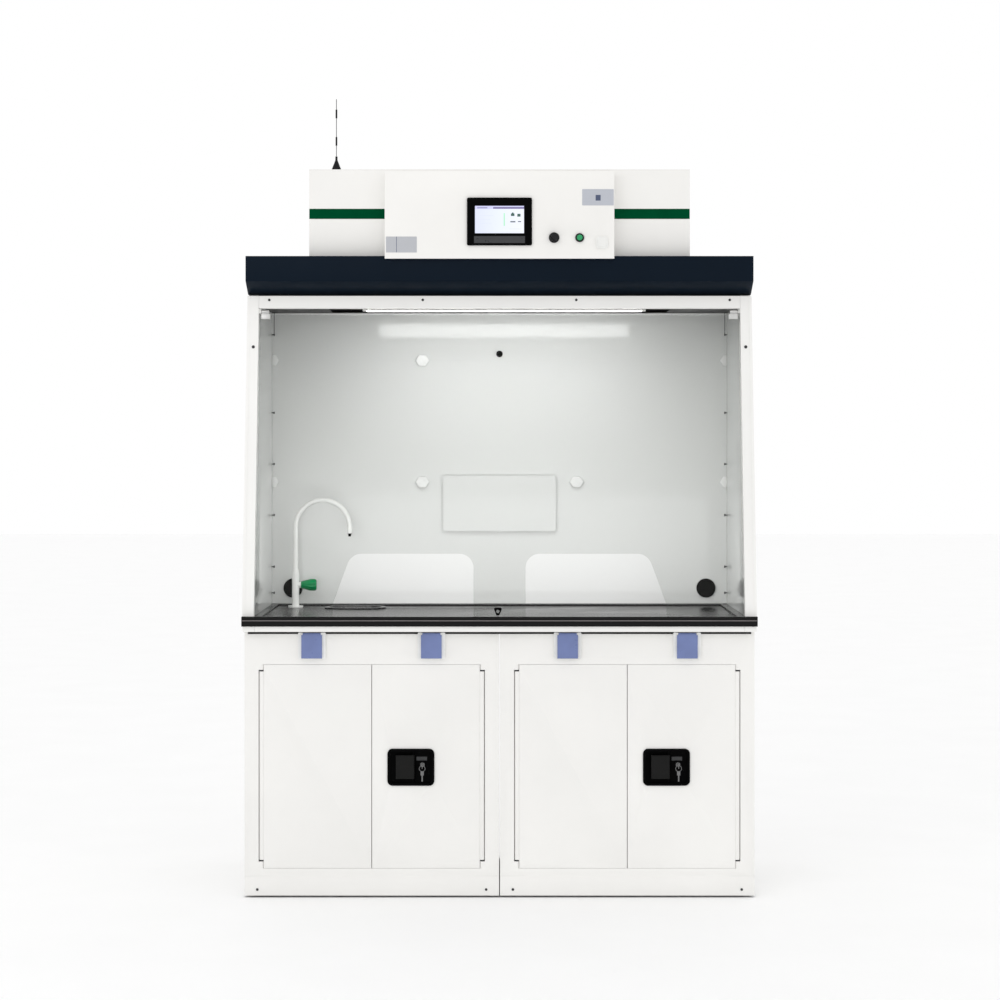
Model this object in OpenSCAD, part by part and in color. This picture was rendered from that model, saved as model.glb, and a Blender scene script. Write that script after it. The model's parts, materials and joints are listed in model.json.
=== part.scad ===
// Filtering fume hood on two base cabinets. A sloping steel frame carries a clear hinged visor
// with two hand ports; a black worktop holds a cup sink and a swan-neck tap; filters and two
// fans stand above the chamber behind a touch panel.
// X runs across the front, Y from front to back, Z up. The origin is on the floor, mid-width
// and mid-depth. Depths called t are measured back from the worktop's front edge.

/* [Overall] */
// Width over the worktop
hood_w = 1600; // [1500:10:1900]
// Depth over the worktop
hood_d = 750; // [700:10:850]
// Height of the worktop's rim above the floor
rim_z = 877; // [820:1:950]
// Height of the sloping front frame above the worktop's rim
frame_h = 1006; // [900:1:1150]
// Thickness of the painted sheet steel
sheet = 1.5; // [1:0.1:2]

/* [Base cabinets] */
// Setback of the cabinet fronts from the worktop's front edge
cab_front_t = 40; // [30:1:60]
// Setback of the cabinet backs from the worktop's back edge
cab_back_gap = 25; // [15:1:60]
// Setback of the cabinets from the worktop's sides
cab_inset = 5.5; // [2:0.5:20]
// Gap between the two cabinets
cab_gap = 3; // [0.5:0.5:6]
// Width of the upright beside each door opening
stile_w = 44; // [35:1:60]
// Height of the fixed band above the doors
band_h = 104; // [96:1:130]
// Height of the plinth under the doors
plinth_h = 83; // [70:1:120]
// Gap between the plinth and the floor
foot_gap = 6; // [3:1:15]
// Depth of the folded front frame around the doors
front_frame_t = 20; // [20:1:30]
// Height of the shelf above the cabinet floor
shelf_h = 315; // [200:5:400]
// Radius of a levelling foot's pad
foot_r = 15; // [12:1:18]
// Radius of a levelling foot's stud
foot_stud_r = 5; // [4:0.5:8]

/* [Doors] */
// Thickness of a door leaf
door_t = 18; // [16:1:19]
// Gap around a door
door_gap = 1.5; // [1:0.5:3]
// Gap above and below a door
head_gap = 0.8; // [0.5:0.1:3]
// Gap between the two leaves of a pair
meet_gap = 2; // [1:0.5:4]
// Radius of the rolled hinge edge
knuckle_r = 7; // [6:0.5:8]
// Height of the upper pivot boss
pivot_top_h = 17; // [12:1:30]
// Height of the lower pivot boss
pivot_foot_h = 23; // [16:1:30]
// Radius of a pivot pin
pivot_pin_r = 3; // [2.5:0.5:4]
// Height of the bush on a pivot pin
pivot_bush_h = 5; // [3:1:8]

/* [Door locks] */
// Width of the lock's flange
lock_w = 146; // [130:1:160]
// Height of the lock's flange
lock_h = 115; // [100:1:130]
// Corner radius of the lock's flange
lock_r = 16; // [8:1:20]
// Distance from the doors' meeting line to the lock's centre
lock_from_meet = 121; // [110:1:150]
// Height of the lock's centre above the floor
lock_z = 406; // [330:1:460]
// Width of the paddle
paddle_w = 58; // [50:1:62]
// Height of the paddle
paddle_h = 73; // [60:1:80]
// Travel of the latch bolt
latch_travel = 10; // [6:1:12]

/* [Socket outlets] */
// Distance of each socket from its cabinet's centre
socket_dx = 186; // [120:1:230]
// Width of a socket plate
socket_w = 86; // [80:1:92]
// Height of a socket plate
socket_h = 82; // [78:1:86]
// Width of a flip cover
cover_w = 64; // [56:1:66]
// Depth of a flip cover
cover_t = 9; // [7:1:10]

/* [Worktop, sink and tap] */
// Thickness of the worktop
top_t = 30; // [25:1:40]
// Height of the white frame under the worktop
apron_h = 17; // [12:1:30]
// Width of the worktop's raised rim
rim_w = 24; // [15:1:40]
// Drop from the rim to the working surface
field_drop = 6; // [3:1:10]
// Distance of the sink's centre from the hood's left side
sink_x = 323; // [300:1:400]
// Depth t of the sink's centre
sink_t = 487; // [460:1:500]
// Length over the sink's rim
sink_l = 205; // [190:1:240]
// Width over the sink's rim
sink_w = 130; // [110:1:150]
// Depth of the sink's bowl
sink_depth = 120; // [80:1:140]
// Outside radius of the sink's outlet
drain_r = 19; // [15:1:25]
// Length of the sink's outlet
drain_l = 60; // [40:1:80]
// Distance of the tap's column from the hood's left side
tap_x = 121; // [110:1:140]
// Depth t of the tap's column
tap_t = 527; // [500:1:540]
// Radius of the tap's column
tap_r = 12; // [10:0.5:14]
// Height of the tap's column above the rim
tap_h = 108; // [95:1:130]
// Height of the handle's axis above the rim
valve_h = 68; // [55:1:75]
// Outside radius of the spout pipe
spout_r = 8; // [6:0.5:9]
// Radius of the spout's arch
arch_r = 90; // [70:1:95]
// Height of the arch's centre above the rim
arch_h = 260; // [200:1:320]
// Radius of the tap's water inlet
inlet_r = 10; // [8:0.5:11]
// Length of the tap's water inlet below the worktop
inlet_l = 50; // [30:1:60]

/* [Front frame and chamber] */
// Depth t of the frame's front face at the rim
frame_t = 20; // [15:1:40]
// How far the frame leans back over its height
lean_run = 153; // [120:1:180]
// Width of a front post
post_w = 36.5; // [34:0.5:45]
// Depth of a front post
post_d = 40; // [34:1:45]
// Height of the rail across the top of the front
rail_h = 40; // [35:1:50]
// Depth of the top rail
rail_d = 30; // [25:1:34]
// Wall of the posts and the rail
tube_wall = 2; // [1.5:0.5:3]
// Thickness of the side walls
side_t = 36; // [34:1:48]
// Thickness of the lining boards
board_t = 5; // [4:1:8]
// Depth t of the chamber's back wall
baffle_t = 600; // [590:1:620]
// Gap between two back boards
board_gap = 1; // [0.5:0.5:6]
// Height of the chamber's ceiling below the frame's top
ceiling_drop = 28; // [24:1:32]
// Depth t of the hood's back panel
back_t = 728; // [720:1:735]

/* [Visor] */
// Thickness of the clear visor
visor_t = 6; // [5:1:8]
// Setback of the visor from the face of the posts
visor_in = 8; // [8:1:10]
// Half the width of the tongue between the hand ports
port_in = 81; // [60:1:120]
// Distance from the centre line to a port's outer foot
port_foot = 520; // [450:1:560]
// Distance from the centre line to a port's outer top corner
port_top = 463; // [380:1:500]
// Height of the hand ports
port_h = 197; // [150:1:240]
// Corner radius of the hand ports
port_r = 45; // [20:1:60]
// Width of the finger pull
pull_w = 24; // [20:1:30]

/* [Header and filter housing] */
// Depth t of the header's front face
header_t = 117; // [105:1:130]
// Depth t of the header's lower edge
header_foot_t = 190; // [180:1:205]
// Height of the header
header_h = 117; // [110:1:150]
// Height of the header's upright face
header_face_h = 79; // [60:1:90]
// Gap between the front frame and the header
header_gap = 5; // [3:1:10]
// Depth t of the filter housing's front
housing_t = 160; // [150:1:180]
// Depth t of the filter housing's back
housing_back_t = 640; // [630:1:700]
// Height of the filter housing
housing_h = 278; // [260:1:340]
// Distance from the hood's side to the housing's side
housing_inset = 197; // [190:1:260]
// Height of the stripe on the housing
stripe_h = 32; // [20:1:50]
// Height of the carbon filters
carbon_h = 110; // [80:1:112]
// Radius of a fan impeller
impeller_r = 125; // [100:1:140]
// Number of blades on an impeller
impeller_blades = 9; // [6:1:12]

/* [Control panel] */
// Width of the control panel
panel_w = 722; // [640:2:760]
// Height of the control panel
panel_h = 275; // [260:1:290]
// Depth t of the control panel's face
panel_t = 105; // [98:1:112]
// Overlap of the control panel in front of the header
panel_lap = 9; // [4:1:20]
// Width of the touch panel's bezel
screen_w = 204; // [190:1:230]
// Height of the touch panel's bezel
screen_h = 150; // [130:1:170]
// Distance of the selector switch from the centre line
selector_x = 171.6; // [150:0.1:190]
// Distance of the push button from the centre line
button_x = 252; // [230:1:270]
// Distance of the presence sensor from the centre line
sensor_x = 322; // [300:1:330]

/* [Hidden] */
$fn = 48;
eps = 1;            // how far a cut runs past the faces it opens
fit = 0.3;          // gap between pieces that slide or turn near each other
pin_fit = 0.1;      // radial clearance of a pin in its bore
far = 3000;         // larger than any piece

white = [0.93, 0.93, 0.91];
board_white = [0.88, 0.89, 0.87];
black = [0.04, 0.04, 0.045];
dark_grey = [0.2, 0.2, 0.22];
silver = [0.72, 0.72, 0.72];
navy = [0.09, 0.14, 0.2];
green = [0.0, 0.31, 0.16];
tap_green = [0.06, 0.62, 0.38];
cover_blue = [0.35, 0.44, 0.71];
clear = [0.85, 0.93, 0.95, 0.3];

// ---- heights, from the floor up ----
cab_floor_z = foot_gap + plinth_h;
cab_top_z = rim_z - top_t - apron_h;
band_z = cab_top_z - band_h;
field_z = rim_z - field_drop;
under_z = rim_z - top_t;
frame_top_z = rim_z + frame_h;
rail_z = frame_top_z - rail_h;
ceiling_z = frame_top_z - ceiling_drop;
header_z = frame_top_z + header_gap;
header_top_z = header_z + header_h;
housing_top_z = header_top_z + housing_h;
seam_1_z = rim_z + 0.407 * frame_h;     // joint between the lower and the middle back board
seam_2_z = rim_z + 0.813 * frame_h;     // joint between the middle and the upper back board

// ---- widths ----
half_w = hood_w / 2;
cab_w = half_w - cab_inset - cab_gap / 2;
opening_w = cab_w - 2 * stile_w;
door_w = (opening_w - 2 * door_gap - meet_gap) / 2;
post_x = half_w - post_w;               // inner face of a post
liner_x = half_w - side_t;              // inner face of a side lining board
housing_x = half_w - housing_inset;     // outer side of the filter housing

function fy(t) = t - hood_d / 2;
function lean_t(z) = frame_t + (z - rim_z) * lean_run / frame_h;
function cab_x(side) = side * (cab_gap + cab_w) / 2;
function pivot_x(side, hand) = cab_x(side) + hand * (opening_w / 2 - door_gap - knuckle_r);

door_z0 = cab_floor_z + sheet + head_gap;
door_z1 = band_z - head_gap;
cab_y0 = fy(cab_front_t);
cab_y1 = fy(hood_d - cab_back_gap);
pivot_y = cab_y0 + knuckle_r;

// The front frame leans back by this angle; its own axes are x across, y inwards, z up the slope
lean = atan(lean_run / frame_h);
slope_l = frame_h / cos(lean);
post_run = post_d / cos(lean);          // depth of a post measured level

// ---- shared shapes ----
module box(x0, x1, y0, y1, z0, z1) {
    translate([x0, y0, z0]) cube([x1 - x0, y1 - y0, z1 - z0]);
}

module rrect(w, h, r) {
    square([w - 2 * r, h], center = true);
    square([w, h - 2 * r], center = true);
    for (x = [-1, 1], y = [-1, 1])
        translate([x * (w / 2 - r), y * (h / 2 - r)]) circle(r);
}

module stadium(l, w) {
    square([l - w, w], center = true);
    for (x = [-1, 1]) translate([x * (l - w) / 2, 0]) circle(w / 2);
}

// A flat outline drawn in X and Z, from the plane y1 forwards by th
module facing(y1, th) {
    translate([0, y1, 0]) rotate([90, 0, 0]) linear_extrude(th) children();
}

// An outline of [y, z] points, from x0 across by w
module profile(x0, w, pts) {
    translate([x0, 0, 0]) rotate([90, 0, 90]) linear_extrude(w) polygon(pts);
}

module rod_x(x0, x1, r) {
    translate([x0, 0, 0]) rotate([0, 90, 0]) cylinder(h = x1 - x0, r = r);
}

module rod_y(y0, y1, r) {
    translate([0, y1, 0]) rotate([90, 0, 0]) cylinder(h = y1 - y0, r = r);
}

module level_cut(z0, z1) {
    intersection() {
        children();
        box(-far, far, -far, far, z0, z1);
    }
}

module on_slope() {
    translate([0, fy(frame_t), rim_z]) rotate([-lean, 0, 0]) children();
}

module both_sides() {
    children();
    mirror([1, 0, 0]) children();
}

// ---- base cabinets ----
socket_z = cab_top_z - socket_h / 2 - 4;      // centre of the socket plates
box_half = 29;                  // half the opening behind a socket plate
plinth_seam_z = foot_gap + 60;  // joint between the corner foot and the stile
seam_w = 1.2;
seam_deep = sheet / 2;

// A boss on the stile: round about the pivot pin, square towards the stile
module pivot_boss(z0, z1) {
    x = opening_w / 2 - door_gap - knuckle_r;
    box(x, opening_w / 2 + eps, cab_y0, cab_y0 + 2 * knuckle_r, z0, z1);
    translate([x, pivot_y, z0]) cylinder(h = z1 - z0, r = knuckle_r);
}

module carcass(side) {
    w2 = cab_w / 2;
    open2 = opening_w / 2;
    in2 = w2 - sheet;
    frame_y = cab_y0 + front_frame_t;
    translate([cab_x(side), 0, 0]) color(white) difference() {
        box(-w2, w2, cab_y0, cab_y1, foot_gap, cab_top_z);
        // storage space, open at the top under the worktop
        box(-in2, in2, frame_y, cab_y1 - sheet, cab_floor_z + sheet, cab_top_z + eps);
        // space under the floor, behind the plinth
        box(-in2, in2, cab_y0 + sheet, cab_y1 - sheet, foot_gap - eps, cab_floor_z);
        // hollow band above the doors
        box(-in2, in2, cab_y0 + sheet, frame_y + eps, band_z + sheet, cab_top_z + eps);
        // hollow stiles
        for (s = [-1, 1])
            scale([s, 1, 1])
                box(open2 + sheet, in2, cab_y0 + sheet, frame_y + eps, cab_floor_z + sheet, band_z + eps * 2);
        // door opening, with its pivot bosses left in the four corners
        difference() {
            box(-open2, open2, cab_y0 - eps, frame_y + eps, cab_floor_z + sheet, band_z);
            for (s = [-1, 1]) scale([s, 1, 1]) {
                pivot_boss(band_z - pivot_top_h, band_z + eps);
                pivot_boss(cab_floor_z, cab_floor_z + pivot_foot_h);
            }
        }
        // openings for the socket back boxes
        for (s = [-1, 1])
            box(s * socket_dx - box_half, s * socket_dx + box_half, cab_y0 - eps, cab_y0 + sheet + eps,
                socket_z - box_half, socket_z + box_half);
        // bores for the pivot pins
        for (s = [-1, 1])
            translate([s * (open2 - door_gap - knuckle_r), pivot_y, 0]) {
                translate([0, 0, band_z - pivot_top_h - eps])
                    cylinder(h = pivot_top_h + sheet + 2 * eps, r = pivot_pin_r);
                translate([0, 0, cab_floor_z - eps])
                    cylinder(h = pivot_foot_h + 2 * eps, r = pivot_pin_r);
            }
        // seams of the corner feet
        for (s = [-1, 1])
            scale([s, 1, 1])
                box(open2 - 30, w2 + eps, cab_y0 - eps, cab_y0 + seam_deep, plinth_seam_z, plinth_seam_z + seam_w);
    }
}

module left_cabinet() carcass(-1);
module right_cabinet() carcass(1);

module cabinet_shelves() {
    z = cab_floor_z + shelf_h;
    w2 = cab_w / 2 - sheet - 1;
    lip = 22;
    color(white) for (side = [-1, 1]) translate([cab_x(side), 0, 0]) {
        box(-w2, w2, cab_y0 + 60, cab_y1 - sheet - 1, z - sheet, z);
        box(-w2, w2, cab_y0 + 60, cab_y0 + 60 + sheet, z - lip, z);
    }
}

module levelling_feet() {
    pad_h = 9;
    inset_x = foot_r + 5;
    color(white) for (side = [-1, 1], x = [-1, 1], y = [cab_y0 + 40, cab_y1 - 40])
        translate([cab_x(side) + x * (cab_w / 2 - inset_x), y, 0]) {
            cylinder(h = pad_h, r = foot_r);
            cylinder(h = cab_floor_z, r = foot_stud_r);
        }
}

// ---- doors: x from the pivot to the meeting edge, y back from the pivot's axis ----
notch_x = knuckle_r + 0.5;                          // clears the round boss as the door turns

module leaf() {
    x1 = door_w - knuckle_r;
    y0 = -knuckle_r;
    y1 = door_t - knuckle_r;
    root_x = notch_x + sheet;                       // solid root behind the rolled edge
    bead_z0 = cab_floor_z + pivot_foot_h + pivot_bush_h;
    bead_z1 = band_z - pivot_top_h - pivot_bush_h;
    groove = 1.2;
    bore_l = 25;
    difference() {
        union() {
            translate([0, 0, bead_z0]) cylinder(h = bead_z1 - bead_z0, r = knuckle_r);
            box(0, x1, y0, y1, bead_z0, bead_z1);
            box(notch_x, x1, y0, y1, door_z0, door_z1);
        }
        box(root_x, x1 - sheet, y0 + sheet, y1 + eps, door_z0 + sheet, door_z1 - sheet);
        box(knuckle_r, knuckle_r + groove, y0 - eps, y0 + groove, bead_z0, bead_z1);
        translate([0, 0, bead_z1 - bore_l]) cylinder(h = bore_l + eps, r = pivot_pin_r + pin_fit);
        translate([0, 0, bead_z0 - eps]) cylinder(h = bore_l + eps, r = pivot_pin_r + pin_fit);
    }
}

module hang(side, hand) {
    translate([pivot_x(side, hand), pivot_y, 0]) scale([-hand, 1, 1]) children();
}

module lock_door(side) {
    color(white) difference() {
        hang(side, 1) leaf();
        at_lock(side) facing(door_t, door_t + 2 * eps + 4) rrect(tub_w, tub_h, tub_r);
    }
}

module left_plain_door() color(white) hang(-1, -1) leaf();
module right_plain_door() color(white) hang(1, -1) leaf();
module left_lock_door() lock_door(-1);
module right_lock_door() lock_door(1);

module hinge_pins() {
    bury = 12;          // length of pin inside the boss
    reach = 18;         // length of pin inside the door's rolled edge
    bush_r = 5.5;
    top_z = band_z - pivot_top_h;
    foot_z = cab_floor_z + pivot_foot_h;
    color(dark_grey) for (side = [-1, 1], hand = [-1, 1])
        translate([pivot_x(side, hand), pivot_y, 0]) {
            translate([0, 0, top_z - pivot_bush_h - reach]) cylinder(h = reach + pivot_bush_h + bury, r = pivot_pin_r);
            translate([0, 0, top_z - pivot_bush_h + fit]) cylinder(h = pivot_bush_h - fit, r = bush_r);
            translate([0, 0, foot_z - bury]) cylinder(h = reach + pivot_bush_h + bury, r = pivot_pin_r);
            translate([0, 0, foot_z]) cylinder(h = pivot_bush_h - fit, r = bush_r);
        }
}

// ---- door locks: x right, z up from the lock's centre, y back from the door's face ----
flange_t = 3;
tub_w = lock_w - 12;
tub_h = lock_h - 12;
tub_r = lock_r - 6;
tub_wall = 2;
tub_floor = 13;             // depth of the recess
paddle_x1 = 11;             // paddle's edge next to the key
paddle_t = 4;
paddle_pin_r = 2;
paddle_knuckle_r = 4;
paddle_pivot_x = paddle_x1 - paddle_knuckle_r;
paddle_pivot_y = 2;
key_x = 36;
key_z = 8;
plug_r = 7;
bolt_h = 16;
bolt_t = 5;
bolt_y = tub_floor + tub_wall + fit;

module at_lock(side) {
    translate([cab_x(side) + meet_gap / 2 + lock_from_meet, cab_y0, lock_z]) children();
}

module lock_housing(side) {
    collar_r = plug_r + 3;
    guide_t = 2.5;
    at_lock(side) color(black) {
        difference() {
            union() {
                facing(0, flange_t) rrect(lock_w, lock_h, lock_r);
                facing(tub_floor + tub_wall, tub_floor + tub_wall) rrect(tub_w - 2 * fit, tub_h - 2 * fit, tub_r);
            }
            difference() {
                facing(tub_floor, tub_floor + flange_t + eps)
                    rrect(tub_w - 2 * tub_wall, tub_h - 2 * tub_wall, tub_r - tub_wall);
                translate([key_x, 0, key_z]) rod_y(0, tub_floor + eps, collar_r);
            }
            translate([key_x, 0, key_z]) rod_y(-eps, tub_floor, plug_r + pin_fit);
        }
        // paddle's pin, from wall to wall of the recess
        translate([paddle_pivot_x, paddle_pivot_y, -tub_h / 2 + tub_wall / 2])
            cylinder(h = tub_h - tub_wall, r = paddle_pin_r);
        // two guides for the latch bolt behind the recess
        for (x = [-55, -30]) difference() {
            box(x, x + 10, tub_floor + tub_wall - 0.5, bolt_y + bolt_t + fit + guide_t,
                -bolt_h / 2 - fit - guide_t, bolt_h / 2 + fit + guide_t);
            box(x - eps, x + 10 + eps, tub_floor + tub_wall, bolt_y + bolt_t + fit, -bolt_h / 2 - fit, bolt_h / 2 + fit);
        }
    }
}

module paddle(side) {
    at_lock(side) color(dark_grey) difference() {
        union() {
            box(paddle_x1 - paddle_w, paddle_pivot_x, paddle_pivot_y - paddle_knuckle_r,
                paddle_pivot_y - paddle_knuckle_r + paddle_t, -paddle_h / 2, paddle_h / 2);
            translate([paddle_pivot_x, paddle_pivot_y, -paddle_h / 2]) cylinder(h = paddle_h, r = paddle_knuckle_r);
        }
        translate([paddle_pivot_x, paddle_pivot_y, -paddle_h / 2 - eps])
            cylinder(h = paddle_h + 2 * eps, r = paddle_pin_r + pin_fit);
    }
}

module key(side) {
    plug_y = -2;
    bow_y = -16;        // where the key's bow starts
    bow_l = 14;
    ring_r = 9;
    ring_wire = 1;
    spare_l = 31;
    at_lock(side) translate([key_x, 0, key_z]) color(silver) {
        rod_y(plug_y, tub_floor - fit, plug_r);
        box(-1, 1, bow_y, plug_y + 1, -4, 4);
        box(-1, 1, bow_y - bow_l, bow_y, -9, 9);
        // ring through the bow, with a spare key hanging from it
        translate([0, bow_y - bow_l + 4, -ring_r]) rotate([90, 0, 0])
            rotate_extrude() translate([ring_r, 0]) circle(ring_wire);
        box(-5, 5, bow_y - bow_l + 3, bow_y - bow_l + 5, -2 * ring_r - 12, -2 * ring_r + 1);
        box(-2, 2, bow_y - bow_l + 3, bow_y - bow_l + 5, -2 * ring_r - spare_l, -2 * ring_r - 11);
    }
}

module latch_bolt(side) {
    tip_x = -(lock_from_meet - meet_gap / 2 - sheet - 2);
    at_lock(side) color(silver)
        box(tip_x, -16, bolt_y, bolt_y + bolt_t, -bolt_h / 2, bolt_h / 2);
}

module left_lock_housing() lock_housing(-1);
module right_lock_housing() lock_housing(1);
module left_paddle() paddle(-1);
module right_paddle() paddle(1);
module left_key() key(-1);
module right_key() key(1);
module left_latch_bolt() latch_bolt(-1);
module right_latch_bolt() latch_bolt(1);

// ---- socket outlets, numbered from the left ----
plate_t = 8;
cover_pin_r = 1.5;
cover_knuckle_r = 3.5;
cover_pivot_z = socket_h / 2 - 4;           // above the plate's centre
cover_pivot_y = -plate_t - cover_knuckle_r - fit;
cover_knuckle_w = cover_w - 8;

function socket_x(n) = cab_x(n < 2 ? -1 : 1) + (n % 2 == 0 ? -1 : 1) * socket_dx;

module at_socket(n) {
    translate([socket_x(n), cab_y0, socket_z]) children();
}

module socket_outlets() {
    back_box = 2 * box_half - 1;
    ear_w = 3;
    color(white) for (n = [0:3]) at_socket(n) {
        difference() {
            union() {
                facing(0, plate_t) rrect(socket_w, socket_h, 4);
                box(-back_box / 2, back_box / 2, -1, 36, -back_box / 2, back_box / 2);
                for (s = [-1, 1])
                    translate([s * (cover_knuckle_w / 2 + fit + ear_w / 2), cover_pivot_y, cover_pivot_z]) {
                        rod_x(-ear_w / 2, ear_w / 2, cover_knuckle_r);
                        box(-ear_w / 2, ear_w / 2, 0, -cover_pivot_y - plate_t + 1, -cover_knuckle_r, cover_knuckle_r);
                    }
            }
            // pin slots of the outlet
            for (a = [-1, 1]) translate([a * 8, 0, -8]) rotate([0, a * 30, 0])
                box(-1, 1, -plate_t - eps, -plate_t + 6, -4, 4);
            translate([0, 0, 10]) box(-1, 1, -plate_t - eps, -plate_t + 6, -4, 4);
        }
        translate([0, cover_pivot_y, cover_pivot_z])
            rod_x(-cover_knuckle_w / 2 - fit - ear_w / 2, cover_knuckle_w / 2 + fit + ear_w / 2, cover_pin_r);
    }
}

module socket_cover(n) {
    wall = 2;
    y0 = -plate_t - fit - cover_t;
    y1 = -plate_t - fit;
    top_z = cover_pivot_z - cover_knuckle_r - fit;
    foot_z = -socket_h / 2 + 2;
    at_socket(n) color(cover_blue) difference() {
        union() {
            box(-cover_w / 2, cover_w / 2, y0, y1, foot_z, top_z);
            box(-cover_knuckle_w / 2, cover_knuckle_w / 2, y0, cover_pivot_y + 1, top_z - eps, cover_pivot_z);
            translate([0, cover_pivot_y, cover_pivot_z]) rod_x(-cover_knuckle_w / 2, cover_knuckle_w / 2, cover_knuckle_r);
        }
        box(-cover_w / 2 + wall, cover_w / 2 - wall, y0 + wall, y1 + eps, foot_z + wall, top_z - wall);
        translate([0, cover_pivot_y, cover_pivot_z]) rod_x(-cover_w, cover_w, cover_pin_r + pin_fit);
    }
}

module socket_cover_1() socket_cover(0);
module socket_cover_2() socket_cover(1);
module socket_cover_3() socket_cover(2);
module socket_cover_4() socket_cover(3);

// ---- worktop, frame under it, sink and tap ----
tap_shank_x = -half_w + tap_x;
sink_cx = -half_w + sink_x;
bowl_l = sink_l - 24;
bowl_w = sink_w - 24;

module worktop() {
    line_z = rim_z - 13;        // joint between the two layers of the edge
    line_h = 1.6;
    color(black) difference() {
        box(-half_w, half_w, fy(0), fy(hood_d), under_z, rim_z);
        box(-liner_x + rim_w, liner_x - rim_w, fy(rim_w), fy(baffle_t - rim_w), field_z, rim_z + eps);
        translate([sink_cx, fy(sink_t), under_z - eps]) linear_extrude(top_t + 2 * eps)
            stadium(bowl_l + 2, bowl_w + 2);
        translate([tap_shank_x, fy(tap_t), under_z - eps]) cylinder(h = top_t + 2 * eps, r = inlet_r + 1);
        box(-far, far, fy(-eps), fy(1), line_z, line_z + line_h);
    }
}

module apron_frame() {
    set_x = 3;
    set_t = 5;
    bar = 38;
    x1 = half_w - set_x;
    color(white) {
        box(-x1 + bar, x1 - bar, fy(set_t), fy(set_t + bar), cab_top_z, under_z);
        box(-x1 + bar, x1 - bar, fy(hood_d - set_t - bar), fy(hood_d - set_t), cab_top_z, under_z);
        both_sides() box(x1 - bar + 0.5, x1, fy(set_t), fy(hood_d - set_t), cab_top_z, under_z);
    }
}

module cup_sink() {
    wall = 3;
    flange = 4;
    floor_z = field_z - sink_depth;
    color(black) translate([sink_cx, fy(sink_t), 0]) difference() {
        union() {
            translate([0, 0, field_z]) linear_extrude(flange) stadium(sink_l, sink_w);
            translate([0, 0, floor_z]) linear_extrude(sink_depth + flange) stadium(bowl_l, bowl_w);
            translate([0, 0, floor_z - drain_l]) cylinder(h = drain_l + 1, r = drain_r);
        }
        translate([0, 0, floor_z + wall]) linear_extrude(far) stadium(bowl_l - 2 * wall, bowl_w - 2 * wall);
        translate([0, 0, floor_z - drain_l - eps]) cylinder(h = drain_l + wall + 2 * eps, r = drain_r - wall);
    }
}

valve_z = rim_z + valve_h;
column_z = rim_z + tap_h;
stub_l = 18;

module at_tap() {
    translate([tap_shank_x, fy(tap_t), 0]) children();
}

module tap_body() {
    flange_r = 25;
    nut_r = 17;
    nut_h = 12;
    socket_deep = 26;
    color(white) at_tap() difference() {
        union() {
            translate([0, 0, field_z]) cylinder(h = 5, r = flange_r);
            translate([0, 0, field_z]) cylinder(h = column_z - field_z, r = tap_r);
            translate([0, 0, valve_z]) rod_x(0, stub_l, tap_r - 2);
            translate([0, 0, under_z - inlet_l]) cylinder(h = inlet_l + top_t, r = inlet_r);
            translate([0, 0, under_z - nut_h]) cylinder(h = nut_h, r = nut_r, $fn = 6);
        }
        translate([0, 0, column_z - socket_deep]) cylinder(h = socket_deep + eps, r = spout_r - 2 + pin_fit);
        translate([0, 0, valve_z]) rod_x(stub_l - 12, stub_l + eps, 4 + pin_fit);
    }
}

module tap_spout() {
    swivel_l = 24;
    color(white) at_tap() {
        translate([0, 0, column_z - swivel_l]) cylinder(h = swivel_l + 2, r = spout_r - 2);
        translate([0, 0, column_z + fit]) cylinder(h = 10, r = tap_r - 1);
        translate([0, 0, column_z + 1]) cylinder(h = arch_h - tap_h - 1, r = spout_r);
        translate([arch_r, 0, rim_z + arch_h]) rotate([90, 0, 0])
            rotate_extrude(angle = 180) translate([arch_r, 0]) circle(spout_r);
    }
}

module tap_nozzle() {
    sleeve_l = 21;
    tip_l = 10;
    z = rim_z + arch_h;
    color(black) at_tap() translate([2 * arch_r, 0, 0]) difference() {
        union() {
            translate([0, 0, z - sleeve_l]) cylinder(h = sleeve_l, r = spout_r + 1);
            translate([0, 0, z - sleeve_l - tip_l]) cylinder(h = tip_l + 1, r1 = spout_r - 4, r2 = spout_r - 2);
        }
        translate([0, 0, z - far / 2]) cylinder(h = far, r = 2.8);
    }
}

module tap_handle() {
    neck_r = 11.5;
    grip_r = 19.5;
    grip_l = 52;
    flare_l = 30;
    flutes = 6;
    color(tap_green) at_tap() translate([stub_l + fit, 0, valve_z]) {
        difference() {
            union() {
                rotate([0, 90, 0]) cylinder(h = flare_l, r1 = neck_r, r2 = grip_r);
                rod_x(flare_l, grip_l - 5, grip_r);
                translate([grip_l - 5, 0, 0]) rotate([0, 90, 0]) cylinder(h = 5, r1 = grip_r, r2 = grip_r - 5);
            }
            for (a = [0:360 / flutes:359]) rotate([a, 0, 0]) translate([0, grip_r + 4, 0]) rod_x(12, grip_l + eps, 7);
        }
        rod_x(-11, 1, 4);
    }
}

// ---- sloping front frame ----
module post(s) {
    fold = 9;               // fold line in from the outer edge
    color(white) scale([s, 1, 1]) difference() {
        level_cut(rim_z, frame_top_z) on_slope() difference() {
            box(post_x, half_w, 0, post_d, -50, slope_l + 50);
            box(post_x + tube_wall, half_w - tube_wall, tube_wall, post_d - tube_wall, -60, slope_l + 60);
        }
        on_slope() box(half_w - fold - 1, half_w - fold, -eps, 0.8, -50, slope_l + 50);
    }
}

module left_post() post(-1);
module right_post() post(1);

module top_rail() {
    x1 = post_x - 0.5;
    color(white) difference() {
        level_cut(rail_z, frame_top_z) on_slope() box(-x1, x1, 0, rail_d, 0, slope_l + 50);
        level_cut(rail_z + tube_wall, frame_top_z - tube_wall) on_slope()
            box(-far, far, tube_wall, rail_d - tube_wall, 0, slope_l + 50);
    }
}

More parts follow.
